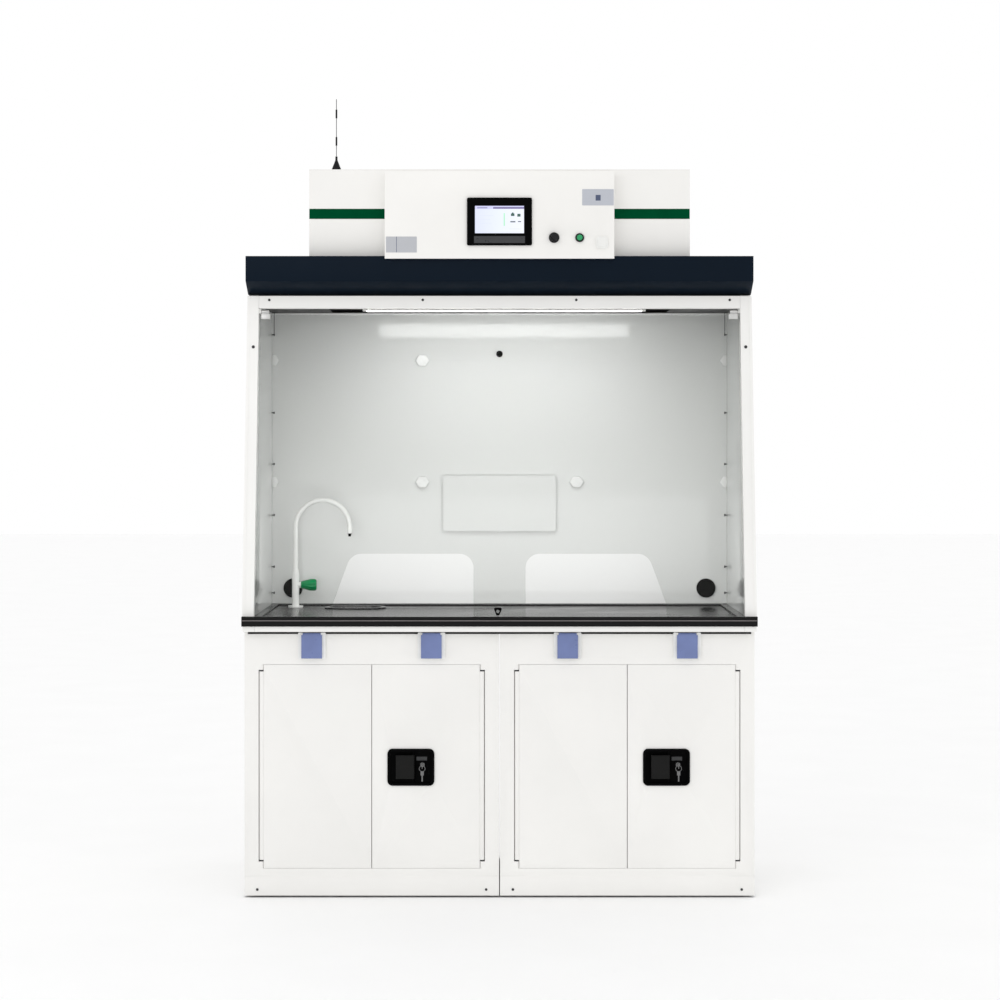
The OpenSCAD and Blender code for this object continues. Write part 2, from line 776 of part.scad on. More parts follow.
// side outline behind a post, g in from every edge, between two heights
function side_pts(g, z0, z1, t1) = [
    [fy(lean_t(z0) + post_run + g), z0 + g],
    [fy(t1 - g), z0 + g],
    [fy(t1 - g), z1 - g],
    [fy(lean_t(z1) + post_run + g), z1 - g]
];

module side_panel(s) {
    x0 = liner_x + board_t + fit;
    color(white) scale([s, 1, 1]) difference() {
        profile(x0, half_w - x0, side_pts(fit, rim_z - fit, header_z + fit, back_t));
        profile(x0 - eps, half_w - x0 - sheet + eps, side_pts(sheet + fit, rim_z, header_z, back_t));
    }
}

module left_side_panel() side_panel(-1);
module right_side_panel() side_panel(1);

module back_panel() {
    color(white) difference() {
        box(-half_w, half_w, fy(back_t), fy(back_t + 12), rim_z, header_z);
        box(-half_w + sheet, half_w - sheet, fy(back_t) - eps, fy(back_t + 12 - sheet), rim_z + sheet, header_z - sheet);
    }
}

// ---- chamber lining ----
port_z = rim_z + 53;            // service ports in the back wall
port_x = half_w - 106;
port_neck_r = 25.5;
port_flange_r = 32;
probe_z = seam_2_z + 22;
probe_neck_r = 7;
clip_x = 259;                   // clips and spare holes from the centre line
plate_y = fy(baffle_t - 6);     // back face of the small cover plate
spare_hole_r = 1.8;             // four screw holes where no clip is fitted

module back_board(z0, z1) {
    box(-liner_x + fit, liner_x - fit, fy(baffle_t), fy(baffle_t + board_t), z0, z1);
}

module liner_boards() {
    plate_w = 380;
    plate_z0 = rim_z + 0.2425 * frame_h;
    plate_z1 = seam_1_z + 22;
    plate_h = plate_z1 - plate_z0;
    color(board_white) {
        difference() {
            back_board(rim_z + 1, seam_1_z - board_gap / 2);
            for (s = [-1, 1])
                translate([s * port_x, 0, port_z]) rod_y(fy(baffle_t) - eps, fy(baffle_t + board_t) + eps, port_neck_r);
        }
        difference() {
            union() {
                back_board(seam_1_z + board_gap / 2, seam_2_z - board_gap / 2);
                back_board(seam_2_z + board_gap / 2, ceiling_z - 1);
            }
            translate([0, 0, probe_z]) rod_y(fy(baffle_t) - eps, fy(baffle_t + board_t) + eps, probe_neck_r);
            for (x = [-16, 16], z = [-12, 12])
                translate([clip_x + x, 0, seam_2_z + z]) rod_y(fy(baffle_t) - eps, fy(baffle_t + board_t) + eps, spare_hole_r);
        }
        both_sides() profile(liner_x, board_t, side_pts(fit, rim_z, ceiling_z - 0.7, back_t));
        // cover plate on four spacers
        translate([0, 0, (plate_z0 + plate_z1) / 2]) {
            facing(plate_y, 2) rrect(plate_w, plate_h, 12);
            for (x = [-1, 1], z = [-1, 0.4])
                translate([x * (plate_w / 2 - 25), 0, z * (plate_h / 2 - 25)]) rod_y(plate_y - 1, fy(baffle_t), 5);
        }
    }
}

module clip() {
    w = 46;
    h = 36;
    linear_extrude(9) polygon([[-w / 2, 0], [-w / 4, -h / 2], [w / 4, -h / 2], [w / 2, 0], [w / 4, h / 2], [-w / 4, h / 2]]);
}

module baffle_clips() {
    color(white) {
        for (p = [[-clip_x, seam_2_z], [-clip_x, seam_1_z], [clip_x, seam_1_z]])
            translate([p[0], fy(baffle_t), p[1]]) rotate([90, 0, 0]) clip();
        // half clips in the corners
        both_sides() for (z = [seam_1_z, seam_2_z]) intersection() {
            translate([liner_x - fit, fy(baffle_t), z]) rotate([90, 0, 0]) clip();
            box(0, liner_x - fit, fy(baffle_t - 10), fy(baffle_t + 1), z - 30, z + 30);
        }
    }
}

module grommet() {
    rod_y(-4, 0, port_flange_r);
    rod_y(-1, board_t + 3, port_neck_r - pin_fit);
}

module service_ports() {
    color(black) {
        for (s = [-1, 1]) translate([s * port_x, fy(baffle_t), port_z]) grommet();
        translate([0, fy(baffle_t), probe_z]) difference() {
            union() {
                rod_y(-6, 0, 11);
                rod_y(-1, board_t + 10, probe_neck_r - pin_fit);
            }
            rod_y(-7, 4, 4);
        }
    }
}

// ---- screws, plugs and bolts ----
screw_r = 4;
shank_r = 2;
shank_l = 8;
stem_l = 7;

// A screw along Y, its head standing on the plane y = 0
module screw(r) {
    rod_y(-1.5, 0, r);
    rod_y(-1, shank_l, shank_r);
}

// A bolt with a stem that holds its head clear of the plane y = 0
module stem_bolt() {
    head_t = 3.5;
    rod_y(-stem_l, 0, 1.6);
    rod_y(-stem_l - head_t, -stem_l + 0.5, screw_r);
    rod_y(-1, shank_l, shank_r);
}

module slope_head(x, z, r) {
    on_slope() translate([x, 0, (z - rim_z) / cos(lean)]) screw(r);
}

module panel_screws() {
    plug_drop = 163;
    bolt_t0 = baffle_t - 22;
    top_bolt_f = 0.898;
    color(dark_grey) {
        for (i = [-3, -1, 1, 3]) slope_head(i * (post_x - 33) / 3, frame_top_z - 13, screw_r);
        for (s = [-1, 1]) slope_head(s * (post_x + post_w / 2 - 3), frame_top_z - plug_drop, 5);
        for (side = [-1, 1], x = [-1, 1])
            translate([cab_x(side) + x * (opening_w / 2 + 4), cab_y0, foot_gap + 19]) screw(screw_r);
        both_sides() {
            for (f = [0.038, 0.125, 0.297, 0.467, 0.638, top_bolt_f])
                translate([liner_x, fy(bolt_t0), rim_z + f * frame_h]) rotate([0, 0, -90]) stem_bolt();
            // thin rod from the top bolt to the ceiling
            translate([liner_x - stem_l - 1.5, fy(bolt_t0), rim_z + top_bolt_f * frame_h])
                cylinder(h = ceiling_z - fit - rim_z - top_bolt_f * frame_h, r = 1.1);
        }
    }
}

// ---- ceiling and lamp ----
ceiling_t0 = lean_t(frame_top_z) + post_run + 1;
cell_x0 = 25;                       // a filter's inner edge from the centre line
cell_x1 = housing_x - 28;
filter_t0 = 225;
filter_t1 = 715;
support_h = 8;

module ceiling_panel() {
    x1 = liner_x + board_t - 1;
    hole_margin = 15;
    color(dark_grey) difference() {
        box(-x1, x1, fy(ceiling_t0), fy(back_t - 1), ceiling_z, header_z);
        difference() {
            box(-x1 + sheet, x1 - sheet, fy(ceiling_t0 + sheet), fy(back_t - 1 - sheet), ceiling_z + sheet, header_z + eps);
            for (s = [-1, 1], t = [filter_t0, filter_t1 - 8])
                scale([s, 1, 1]) box(cell_x0, cell_x1, fy(t), fy(t + 8), ceiling_z, ceiling_z + sheet + support_h);
        }
        for (s = [-1, 1]) scale([s, 1, 1]) {
            // intake from the chamber, and the slot behind the back boards
            box(cell_x0 + hole_margin, cell_x1 - hole_margin, fy(260), fy(baffle_t - 12), ceiling_z - eps, ceiling_z + 2 * sheet);
            box(cell_x0 + hole_margin, cell_x1 - hole_margin, fy(baffle_t + board_t + 8), fy(700), ceiling_z - eps, ceiling_z + 2 * sheet);
        }
    }
}

lamp_dx = 15;                       // the lamp hangs a little to the right of the middle

module lamp() {
    lamp_l = 880;
    lamp_h = 17;
    lamp_t0 = ceiling_t0 + 4;
    color(white) translate([lamp_dx, 0, 0]) {
        box(-lamp_l / 2, lamp_l / 2, fy(lamp_t0 + 2), fy(lamp_t0 + 30), ceiling_z - lamp_h + 2, ceiling_z);
        both_sides() box(lamp_l / 2, lamp_l / 2 + 12, fy(lamp_t0), fy(lamp_t0 + 32), ceiling_z - lamp_h, ceiling_z);
    }
}

// ---- visor, in the slope's axes ----
visor_y = visor_in + visor_t / 2;
visor_axis_z = (rail_z - rim_z) / cos(lean) - 9;
visor_top_z = visor_axis_z - 10;
visor_x = post_x - 2.5;
bracket_t = 7;
clamp_x1 = post_x - bracket_t - 1;
clamp_l = 28;
visor_pin_r = 3;

// outline of the right hand port, with its two upper corners rounded
module hand_port() {
    rise = 0.2 * port_h;                        // upright stretch at the outer foot
    run = port_foot - port_top;
    side_l = norm([run, port_h - rise]);
    n = [port_h - rise, run] / side_l;          // outward normal of the slanting side
    cy = port_h - port_r;
    cx = port_top + (port_r * n[1] - port_r) / n[0];
    polygon([
        [port_in, -10], [port_in, cy], [port_in + port_r, port_h], [cx, port_h],
        [cx + port_r * n[0], cy + port_r * n[1]], [port_foot, rise], [port_foot, -10]
    ]);
    translate([port_in + port_r, cy]) circle(port_r);
    translate([cx, cy]) circle(port_r);
}

module front_visor() {
    foot = 3;
    color(clear) on_slope() difference() {
        box(-visor_x, visor_x, visor_in, visor_in + visor_t, foot, visor_top_z);
        both_sides() facing(visor_in + visor_t + eps, visor_t + 2 * eps) hand_port();
    }
}

module visor_brackets() {
    color(silver) both_sides() on_slope() translate([0, visor_y, visor_axis_z]) {
        box(post_x - bracket_t, post_x, -7, 7, -6, 7);
        rod_x(clamp_x1 - 22, post_x - bracket_t + 1, visor_pin_r);
    }
}

module visor_fittings() {
    jaw = 3;
    clamp_h = 14;
    y0 = visor_in - jaw;
    y1 = visor_in + visor_t + jaw;
    ring_y = visor_in - 7;
    ring_top = 28;
    ring_dx = -5;
    color(silver) both_sides() on_slope() {
        difference() {
            union() {
                box(clamp_x1 - clamp_l, clamp_x1, y0, y1, visor_top_z - clamp_h, visor_top_z + 2);
                box(clamp_x1 - 24, clamp_x1, visor_in, visor_in + visor_t, visor_top_z, visor_axis_z);
                translate([0, visor_y, visor_axis_z]) rod_x(clamp_x1 - 24, clamp_x1, 6);
            }
            box(clamp_x1 - clamp_l - eps, clamp_x1 + eps, visor_in, visor_in + visor_t, visor_top_z - clamp_h - eps, visor_top_z);
            translate([0, visor_y, visor_axis_z]) rod_x(clamp_x1 - 30, clamp_x1 + eps, visor_pin_r + pin_fit);
        }
    }
    // shield-shaped finger ring on the tongue between the ports
    ring_z = ring_top - pull_w / 2;
    corner_r = 5;
    color(black) on_slope() translate([ring_dx, 0, 0]) facing(visor_in, visor_in - ring_y) difference() {
        union() {
            for (x = [-1, 1]) translate([x * (pull_w / 2 - corner_r), ring_top - corner_r]) circle(corner_r);
            translate([-pull_w / 2 + corner_r, ring_top - 2 * corner_r]) square([pull_w - 2 * corner_r, 2 * corner_r]);
            polygon([[-pull_w / 2, ring_top - corner_r], [pull_w / 2, ring_top - corner_r], [pull_w / 5, 3.5], [-pull_w / 5, 3.5]]);
        }
        translate([0, ring_z]) circle(pull_w / 2 - 7);
    }
}

// ---- header canopy ----
module header_solid(g) {
    profile(-half_w + g, hood_w - 2 * g, [
        [fy(header_t + g), header_top_z - g],
        [fy(header_t + g), header_top_z - header_face_h],
        [fy(header_foot_t + g), header_z + g],
        [fy(back_t + 12 - g), header_z + g],
        [fy(back_t + 12 - g), header_top_z - g]
    ]);
}

module header_canopy() {
    ledge = 15;         // top flange under the filter housing
    color(navy) difference() {
        header_solid(0);
        header_solid(sheet);
        // open underside behind the sloping fascia
        box(-half_w + sheet, half_w - sheet, fy(header_foot_t + ledge), fy(back_t + 12 - sheet), header_z - eps, header_z + 2 * sheet);
        // opening under the filter housing
        box(-housing_x + ledge, housing_x - ledge, fy(housing_t + ledge), fy(housing_back_t - ledge),
            header_top_z - 2 * sheet, header_top_z + eps);
    }
}

// ---- filter housing, lid and stripes ----
lid_t = 1.5;
fan_x = (cell_x0 + cell_x1) / 2;
fan_y = fy((housing_t + housing_back_t) / 2);
outlet_r = 118;

module filter_housing() {
    color(white) difference() {
        box(-housing_x, housing_x, fy(housing_t), fy(housing_back_t), header_top_z, housing_top_z - lid_t);
        box(-housing_x + sheet, housing_x - sheet, fy(housing_t + sheet), fy(housing_back_t - sheet),
            header_top_z - eps, housing_top_z);
    }
}

module exhaust_cover() {
    ring_h = 8;
    bar = 5;
    color(white) {
        difference() {
            box(-housing_x, housing_x, fy(housing_t), fy(housing_back_t), housing_top_z - lid_t, housing_top_z);
            for (s = [-1, 1]) translate([s * fan_x, fan_y, housing_top_z - lid_t - eps]) cylinder(h = lid_t + 2 * eps, r = outlet_r);
        }
        for (s = [-1, 1]) translate([s * fan_x, fan_y, housing_top_z]) {
            for (r = [outlet_r + bar, 0.76 * outlet_r, 0.5 * outlet_r, 0.25 * outlet_r]) difference() {
                translate([0, 0, -0.5]) cylinder(h = ring_h + 0.5, r = r);
                translate([0, 0, -eps]) cylinder(h = ring_h + 2 * eps, r = r - bar);
            }
            for (a = [0, 90]) rotate([0, 0, a])
                box(-outlet_r - bar / 2, outlet_r + bar / 2, -bar / 2, bar / 2, ring_h / 2, ring_h);
        }
    }
}

module trim_stripes() {
    stripe_z = header_top_z + 0.493 * housing_h;
    stripe_t = 0.6;
    color(green) both_sides()
        box(panel_w / 2 + 3, housing_x - 0.5, fy(housing_t) - stripe_t, fy(housing_t), stripe_z - stripe_h / 2, stripe_z + stripe_h / 2);
}

// ---- control panel ----
panel_z0 = header_top_z - panel_lap;
panel_y = fy(panel_t);
screen_z = panel_z0 + 116;
switch_z = panel_z0 + 65.5;
sensor_z = panel_z0 + 50;
switch_hole_r = 11.2;

module control_panel() {
    x1 = panel_w / 2;
    z1 = panel_z0 + panel_h;
    lap_y = fy(header_t) - 0.5;         // the part in front of the header stops short of it
    step_z = header_top_z + 0.5;
    screen_hole = [screen_w - 14, screen_h - 14];
    color(white) difference() {
        union() {
            box(-x1, x1, panel_y, lap_y, panel_z0, z1);
            box(-x1, x1, lap_y - eps, fy(housing_t) - 0.1, step_z, z1);
        }
        box(-x1 + sheet, x1 - sheet, panel_y + sheet, fy(housing_t) + eps, step_z + sheet, z1 - sheet);
        box(-x1 + sheet, x1 - sheet, panel_y + sheet, lap_y + eps, panel_z0 + sheet, step_z + 2 * sheet);
        translate([0, 0, screen_z]) box(-screen_hole[0] / 2, screen_hole[0] / 2, panel_y - eps, panel_y + sheet + eps,
            -screen_hole[1] / 2, screen_hole[1] / 2);
        for (x = [selector_x, button_x]) translate([x, 0, switch_z]) rod_y(panel_y - eps, panel_y + sheet + eps, switch_hole_r);
        translate([sensor_x, 0, sensor_z]) rod_y(panel_y - eps, panel_y + sheet + eps, switch_hole_r);
    }
}

module touch_panel() {
    bezel_t = 6;
    view = [154, 86];
    view_dz = 6;
    color(black) difference() {
        union() {
            translate([0, 0, screen_z]) facing(panel_y, bezel_t) rrect(screen_w, screen_h, 5);
            translate([0, 0, screen_z]) box(-screen_w / 2 + 8, screen_w / 2 - 8, panel_y - 1, panel_y + 34, -screen_h / 2 + 8, screen_h / 2 - 8);
        }
        translate([0, 0, screen_z + view_dz]) box(-view[0] / 2, view[0] / 2, panel_y - bezel_t - eps, panel_y - bezel_t + 1, -view[1] / 2, view[1] / 2);
    }
}

selector_r = 16.5;
knob_r = 12;
bezel_h = 4;

module at_switch(x) {
    translate([x, panel_y, switch_z]) children();
}

module switch_base(r, inner) {
    difference() {
        union() {
            rod_y(-bezel_h, 0, r);
            rod_y(-1, 38, switch_hole_r - pin_fit);
        }
        rod_y(-bezel_h - eps, 8, inner);
    }
}

module control_bezels() {
    sensor_s = 39;
    color(dark_grey) {
        at_switch(selector_x) switch_base(selector_r, switch_hole_r - 2);
        at_switch(button_x) switch_base(14, switch_hole_r - 2);
    }
    color(white) translate([sensor_x, panel_y, sensor_z]) {
        facing(0, 3) rrect(sensor_s, sensor_s, 10);
        facing(-2, 4) rrect(sensor_s - 12, sensor_s - 12, 6);
        rod_y(-1, 20, switch_hole_r - pin_fit);
    }
}

module selector_knob() {
    stem_r = switch_hole_r - 2 - pin_fit;
    turned = -45;           // the handle points up and to the left at rest
    color(black) at_switch(selector_x) {
        rod_y(-bezel_h - 2, 7, stem_r);
        rod_y(-bezel_h - 6, -bezel_h - fit, knob_r);
        rotate([0, turned, 0]) box(-3.5, 3.5, -bezel_h - 16, -bezel_h - 5, -knob_r + 1, knob_r + 2);
    }
}

module start_button() {
    cap_r = switch_hole_r - 2 - fit;
    color(green) at_switch(button_x) rod_y(-bezel_h - 5, 3, cap_r);
}

// ---- fans and filters ----
deck_z = header_top_z + 35;
wheel_z = deck_z + 12;
wheel_h = 88;
motor_z = wheel_z + wheel_h + 12;
motor_r = 58;
motor_h = 60;
shaft_r = 6;
inlet_hole_r = impeller_r - 30;
bridge_half = 200;

module fan_housing() {
    deck_w = cell_x1 - cell_x0 - 6;
    leg_t = 3;
    bridge_z = motor_z + motor_h;
    mouth_h = 9;
    translate([-deck_w / 2, 0, 0]) difference() {
        box(0, deck_w, fy(housing_t + 5), fy(housing_back_t - 5), deck_z, deck_z + 2);
        translate([deck_w / 2, fan_y, deck_z - eps]) cylinder(h = 2 + 2 * eps, r = inlet_hole_r);
    }
    translate([0, fan_y, 0]) {
        difference() {
            translate([0, 0, deck_z]) cylinder(h = mouth_h, r = inlet_hole_r);
            translate([0, 0, deck_z - eps]) cylinder(h = mouth_h + 2 * eps, r = inlet_hole_r - 3);
        }
        translate([0, 0, motor_z]) cylinder(h = motor_h + 1, r = motor_r);
        translate([0, 0, wheel_z + 45]) cylinder(h = motor_z - wheel_z - 44, r = shaft_r);
        box(-bridge_half, bridge_half, -35, 35, bridge_z, bridge_z + leg_t);
        for (s = [-1, 1]) scale([s, 1, 1]) box(bridge_half - leg_t, bridge_half, -35, 35, deck_z + 1, bridge_z + leg_t);
    }
}

module fan_housings() color(silver) for (s = [-1, 1]) translate([s * fan_x, 0, 0]) fan_housing();

module impeller(s) {
    disc_t = 3;
    hub_r = 20;
    blade_in = inlet_hole_r - 5;
    blade_l = impeller_r - blade_in;
    color(dark_grey) translate([s * fan_x, fan_y, wheel_z]) difference() {
        union() {
            translate([0, 0, wheel_h - disc_t]) cylinder(h = disc_t, r = impeller_r);
            translate([0, 0, wheel_h - 36]) cylinder(h = 36, r = hub_r);
            difference() {
                cylinder(h = disc_t, r = impeller_r);
                translate([0, 0, -eps]) cylinder(h = disc_t + 2 * eps, r = inlet_hole_r + 2);
            }
            for (i = [0:impeller_blades - 1]) rotate([0, 0, i * 360 / impeller_blades])
                translate([blade_in, 0, 0]) rotate([0, 0, -s * 28])
                    box(0, blade_l - 1, -1, 1, disc_t - 1, wheel_h - disc_t + 1);
        }
        translate([0, 0, -eps]) cylinder(h = wheel_h + 2 * eps, r = shaft_r + pin_fit);
    }
}

module left_impeller() impeller(-1);
module right_impeller() impeller(1);

prefilter_z = ceiling_z + sheet + support_h;
prefilter_h = 20;

module filter_block(z0, z1) {
    both_sides() box(cell_x0, cell_x1, fy(filter_t0), fy(filter_t1), z0, z1);
}

module prefilters() color(white) filter_block(prefilter_z, prefilter_z + prefilter_h);
module carbon_filters() color(dark_grey)
    filter_block(prefilter_z + prefilter_h, prefilter_z + prefilter_h + carbon_h);

module controller() {
    x0 = -panel_w / 2 + 40;
    color(dark_grey) translate([x0, 0, panel_z0 + 90]) {
        box(0, 130, panel_y + sheet, panel_y + 40, 0, 100);
        box(4, 126, panel_y + 8, panel_y + 32, -10, 110);
    }
}

module antenna() {
    whip_r = 1;
    sleeve_r = 2.8;
    x = -518;
    color(black) translate([x, fy(housing_t + 20), housing_top_z]) {
        cylinder(h = 6, r = 14.25);
        translate([0, 0, 6]) cylinder(h = 26, r1 = 13.5, r2 = 3.5);
        translate([0, 0, 32]) cylinder(h = 11, r = 3.5);
        cylinder(h = 225, r = whip_r);
        for (z = [78, 165]) translate([0, 0, z]) cylinder(h = 27, r = sleeve_r);
    }
}

left_cabinet();
right_cabinet();
cabinet_shelves();
levelling_feet();
panel_screws();
left_plain_door();
left_lock_door();
right_plain_door();
right_lock_door();
hinge_pins();
left_lock_housing();
right_lock_housing();
left_paddle();
right_paddle();
left_key();
right_key();
left_latch_bolt();
right_latch_bolt();
socket_outlets();
socket_cover_1();
socket_cover_2();
socket_cover_3();
socket_cover_4();
worktop();
apron_frame();
cup_sink();
tap_body();
tap_spout();
tap_nozzle();
tap_handle();
left_post();
right_post();
top_rail();
left_side_panel();
right_side_panel();
back_panel();
liner_boards();
baffle_clips();
service_ports();
ceiling_panel();
lamp();
front_visor();
visor_brackets();
visor_fittings();
header_canopy();
filter_housing();
exhaust_cover();
trim_stripes();
control_panel();
touch_panel();
control_bezels();
selector_knob();
start_button();
fan_housings();
left_impeller();
right_impeller();
carbon_filters();
prefilters();
controller();
antenna();
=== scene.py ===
import json
import math

import bpy
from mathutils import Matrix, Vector


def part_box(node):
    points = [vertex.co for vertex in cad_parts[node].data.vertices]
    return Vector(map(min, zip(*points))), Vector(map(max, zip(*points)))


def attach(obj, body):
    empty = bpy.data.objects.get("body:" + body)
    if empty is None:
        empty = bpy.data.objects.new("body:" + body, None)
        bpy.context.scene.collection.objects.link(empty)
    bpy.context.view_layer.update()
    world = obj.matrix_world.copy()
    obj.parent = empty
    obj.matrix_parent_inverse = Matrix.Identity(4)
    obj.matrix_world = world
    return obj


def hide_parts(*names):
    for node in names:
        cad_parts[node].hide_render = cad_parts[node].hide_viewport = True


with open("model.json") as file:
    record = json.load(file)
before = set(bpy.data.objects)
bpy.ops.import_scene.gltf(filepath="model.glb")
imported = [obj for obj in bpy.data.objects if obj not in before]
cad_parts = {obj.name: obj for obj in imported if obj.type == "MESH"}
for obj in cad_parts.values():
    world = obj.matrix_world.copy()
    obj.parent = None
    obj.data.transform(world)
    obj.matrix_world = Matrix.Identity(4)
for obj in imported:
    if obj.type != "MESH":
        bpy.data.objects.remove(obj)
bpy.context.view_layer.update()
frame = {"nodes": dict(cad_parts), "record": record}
nodes = frame["nodes"]
node_body = {node: body for body, held in frame["record"]["behaviour"]["bodies"].items() for node in held}

MM = 0.001


# ---------------------------------------------------------------- material helpers

class Finish:
    """A node material under construction: every finish reads Object coordinates."""

    def __init__(self, name):
        self.material = bpy.data.materials.new(name)
        self.material.use_nodes = True
        self.tree = self.material.node_tree
        self.shader = self.tree.nodes["Principled BSDF"]
        self.output = self.tree.nodes["Material Output"]
        self.coords = self.add("ShaderNodeTexCoord").outputs["Object"]

    def add(self, kind, **settings):
        made = self.tree.nodes.new(kind)
        for key, value in settings.items():
            setattr(made, key, value)
        return made

    def join(self, source, target):
        self.tree.links.new(source, target)

    def noise(self, scale, detail=3.0, rough=0.5, stretch=(1, 1, 1)):
        mapping = self.add("ShaderNodeMapping")
        mapping.inputs["Scale"].default_value = stretch
        self.join(self.coords, mapping.inputs["Vector"])
        noise = self.add("ShaderNodeTexNoise")
        noise.inputs["Scale"].default_value = scale
        noise.inputs["Detail"].default_value = detail
        noise.inputs["Roughness"].default_value = rough
        self.join(mapping.outputs["Vector"], noise.inputs["Vector"])
        return noise.outputs["Fac"]

    def ramp(self, factor, stops):
        ramp = self.add("ShaderNodeValToRGB")
        elements = ramp.color_ramp.elements
        while len(elements) < len(stops):
            elements.new(0.5)
        for element, (place, color) in zip(elements, stops):
            element.position = place
            element.color = (*color, 1) if len(color) == 3 else color
        self.join(factor, ramp.inputs["Fac"])
        return ramp.outputs["Color"]

    def spread(self, factor, low, high, start=0.35, end=0.65):
        spread = self.add("ShaderNodeMapRange")
        spread.inputs["From Min"].default_value = start
        spread.inputs["From Max"].default_value = end
        spread.inputs["To Min"].default_value = low
        spread.inputs["To Max"].default_value = high
        self.join(factor, spread.inputs["Value"])
        return spread.outputs["Result"]

    def bump(self, height, depth, strength=0.5):
        bump = self.add("ShaderNodeBump")
        bump.inputs["Distance"].default_value = depth
        bump.inputs["Strength"].default_value = strength
        self.join(height, bump.inputs["Height"])
        self.join(bump.outputs["Normal"], self.shader.inputs["Normal"])

    def put(self, **values):
        for key, value in values.items():
            self.shader.inputs[key.replace("_", " ")].default_value = value


def shade(color, factor):
    return tuple(channel * factor for channel in color)


def powder_coat(name, color, rough=0.38, peel=0.5, drift=0.04, sheen=0.4):
    """Sprayed and baked paint: a fine orange peel, and a faint drift in tone and gloss."""
    finish = Finish(name)
    cloud = finish.noise(2.1, 4, 0.55)
    finish.join(finish.ramp(cloud, [(0.3, shade(color, 1 - drift)), (0.7, shade(color, 1 + drift * 0.4))]),
                finish.shader.inputs["Base Color"])
    wipe = finish.noise(9, 5, 0.6, (1, 1, 0.35))
    finish.join(finish.spread(wipe, rough - 0.05, rough + 0.07), finish.shader.inputs["Roughness"])
    finish.bump(finish.noise(700, 2, 0.4), 0.00004, peel)
    finish.put(Specular_IOR_Level=sheen)
    return finish.material


def moulded_plastic(name, color, rough=0.4, grain=900, depth=0.00005, strength=0.5, coat=0.0,
                    sheen=0.4):
    """Injection-moulded plastic: a spark-eroded grain and slightly uneven gloss."""
    finish = Finish(name)
    cloud = finish.noise(14, 3, 0.5)
    finish.join(finish.ramp(cloud, [(0.3, shade(color, 0.9)), (0.7, shade(color, 1.07))]),
                finish.shader.inputs["Base Color"])
    haze = finish.noise(40, 4, 0.6)
    finish.join(finish.spread(haze, rough - 0.06, rough + 0.08), finish.shader.inputs["Roughness"])
    finish.bump(finish.noise(grain, 2, 0.5), depth, strength)
    finish.put(Coat_Weight=coat, Coat_Roughness=0.12, Specular_IOR_Level=sheen)
    return finish.material


def plated_metal(name, color, rough):
    """Plated or blackened steel: fine streaks in tone and gloss."""
    finish = Finish(name)
    streak = finish.noise(300, 4, 0.6)
    finish.join(finish.ramp(streak, [(0.3, shade(color, 0.85)), (0.7, color)]),
                finish.shader.inputs["Base Color"])
    finish.join(finish.spread(streak, rough - 0.06, rough + 0.1), finish.shader.inputs["Roughness"])
    finish.bump(streak, 0.00002, 0.4)
    finish.put(Metallic=1.0)
    return finish.material


def spangled_zinc(name):
    """Galvanised sheet: crystals of differing tone."""
    finish = Finish(name)
    cells = finish.add("ShaderNodeTexVoronoi")
    cells.inputs["Scale"].default_value = 90
    finish.join(finish.coords, cells.inputs["Vector"])
    tone = finish.add("ShaderNodeSeparateColor")
    finish.join(cells.outputs["Color"], tone.inputs["Color"])
    finish.join(finish.ramp(tone.outputs["Red"], [(0.0, (0.33, 0.34, 0.36)), (1.0, (0.56, 0.57, 0.58))]),
                finish.shader.inputs["Base Color"])
    finish.join(finish.spread(tone.outputs["Green"], 0.28, 0.5, 0, 1), finish.shader.inputs["Roughness"])
    finish.put(Metallic=1.0)
    return finish.material


def laminate(name, color):
    """Smooth glossy lining board: faint waviness in the sheet, and wiping haze in its gloss."""
    finish = Finish(name)
    tone = finish.ramp(finish.noise(1.4, 3, 0.5), [(0.3, shade(color, 0.985)), (0.7, shade(color, 1.01))])
    finish.join(tone, finish.shader.inputs["Base Color"])
    wipe = finish.noise(3, 3, 0.5, (1, 1, 0.5))
    finish.join(finish.spread(wipe, 0.07, 0.11), finish.shader.inputs["Roughness"])
    finish.bump(finish.noise(900, 2, 0.4), 0.00001, 0.2)
    finish.put(Specular_IOR_Level=0.4)
    return finish.material


def polished_slab(name, color):
    """Black bench slab: deep gloss over fine mineral flecks."""
    finish = Finish(name)
    fleck = finish.noise(1500, 2, 0.5)
    finish.join(finish.ramp(fleck, [(0.55, color), (0.78, (0.008, 0.008, 0.008))]),
                finish.shader.inputs["Base Color"])
    finish.join(finish.spread(finish.noise(7, 5, 0.6), 0.17, 0.24), finish.shader.inputs["Roughness"])
    finish.bump(finish.noise(220, 2, 0.4), 0.00003, 0.3)
    finish.put(Specular_IOR_Level=0.17)
    return finish.material


def clear_sheet(name):
    """Clear acrylic: a slightly grey sheet with a surface reflection that grows at grazing angles."""
    finish = Finish(name)
    clear = finish.add("ShaderNodeBsdfTransparent")
    clear.inputs["Color"].default_value = (0.9, 0.905, 0.9, 1)
    gloss = finish.add("ShaderNodeBsdfGlossy")
    gloss.inputs["Color"].default_value = (1, 1, 1, 1)
    finish.join(finish.spread(finish.noise(5, 4, 0.6), 0.015, 0.05), gloss.inputs["Roughness"])
    edge = finish.add("ShaderNodeFresnel")
    edge.inputs["IOR"].default_value = 1.15
    mix = finish.add("ShaderNodeMixShader")
    finish.join(edge.outputs["Fac"], mix.inputs["Fac"])
    finish.join(clear.outputs["BSDF"], mix.inputs[1])
    finish.join(gloss.outputs["BSDF"], mix.inputs[2])
    finish.join(mix.outputs["Shader"], finish.output.inputs["Surface"])
    return finish.material


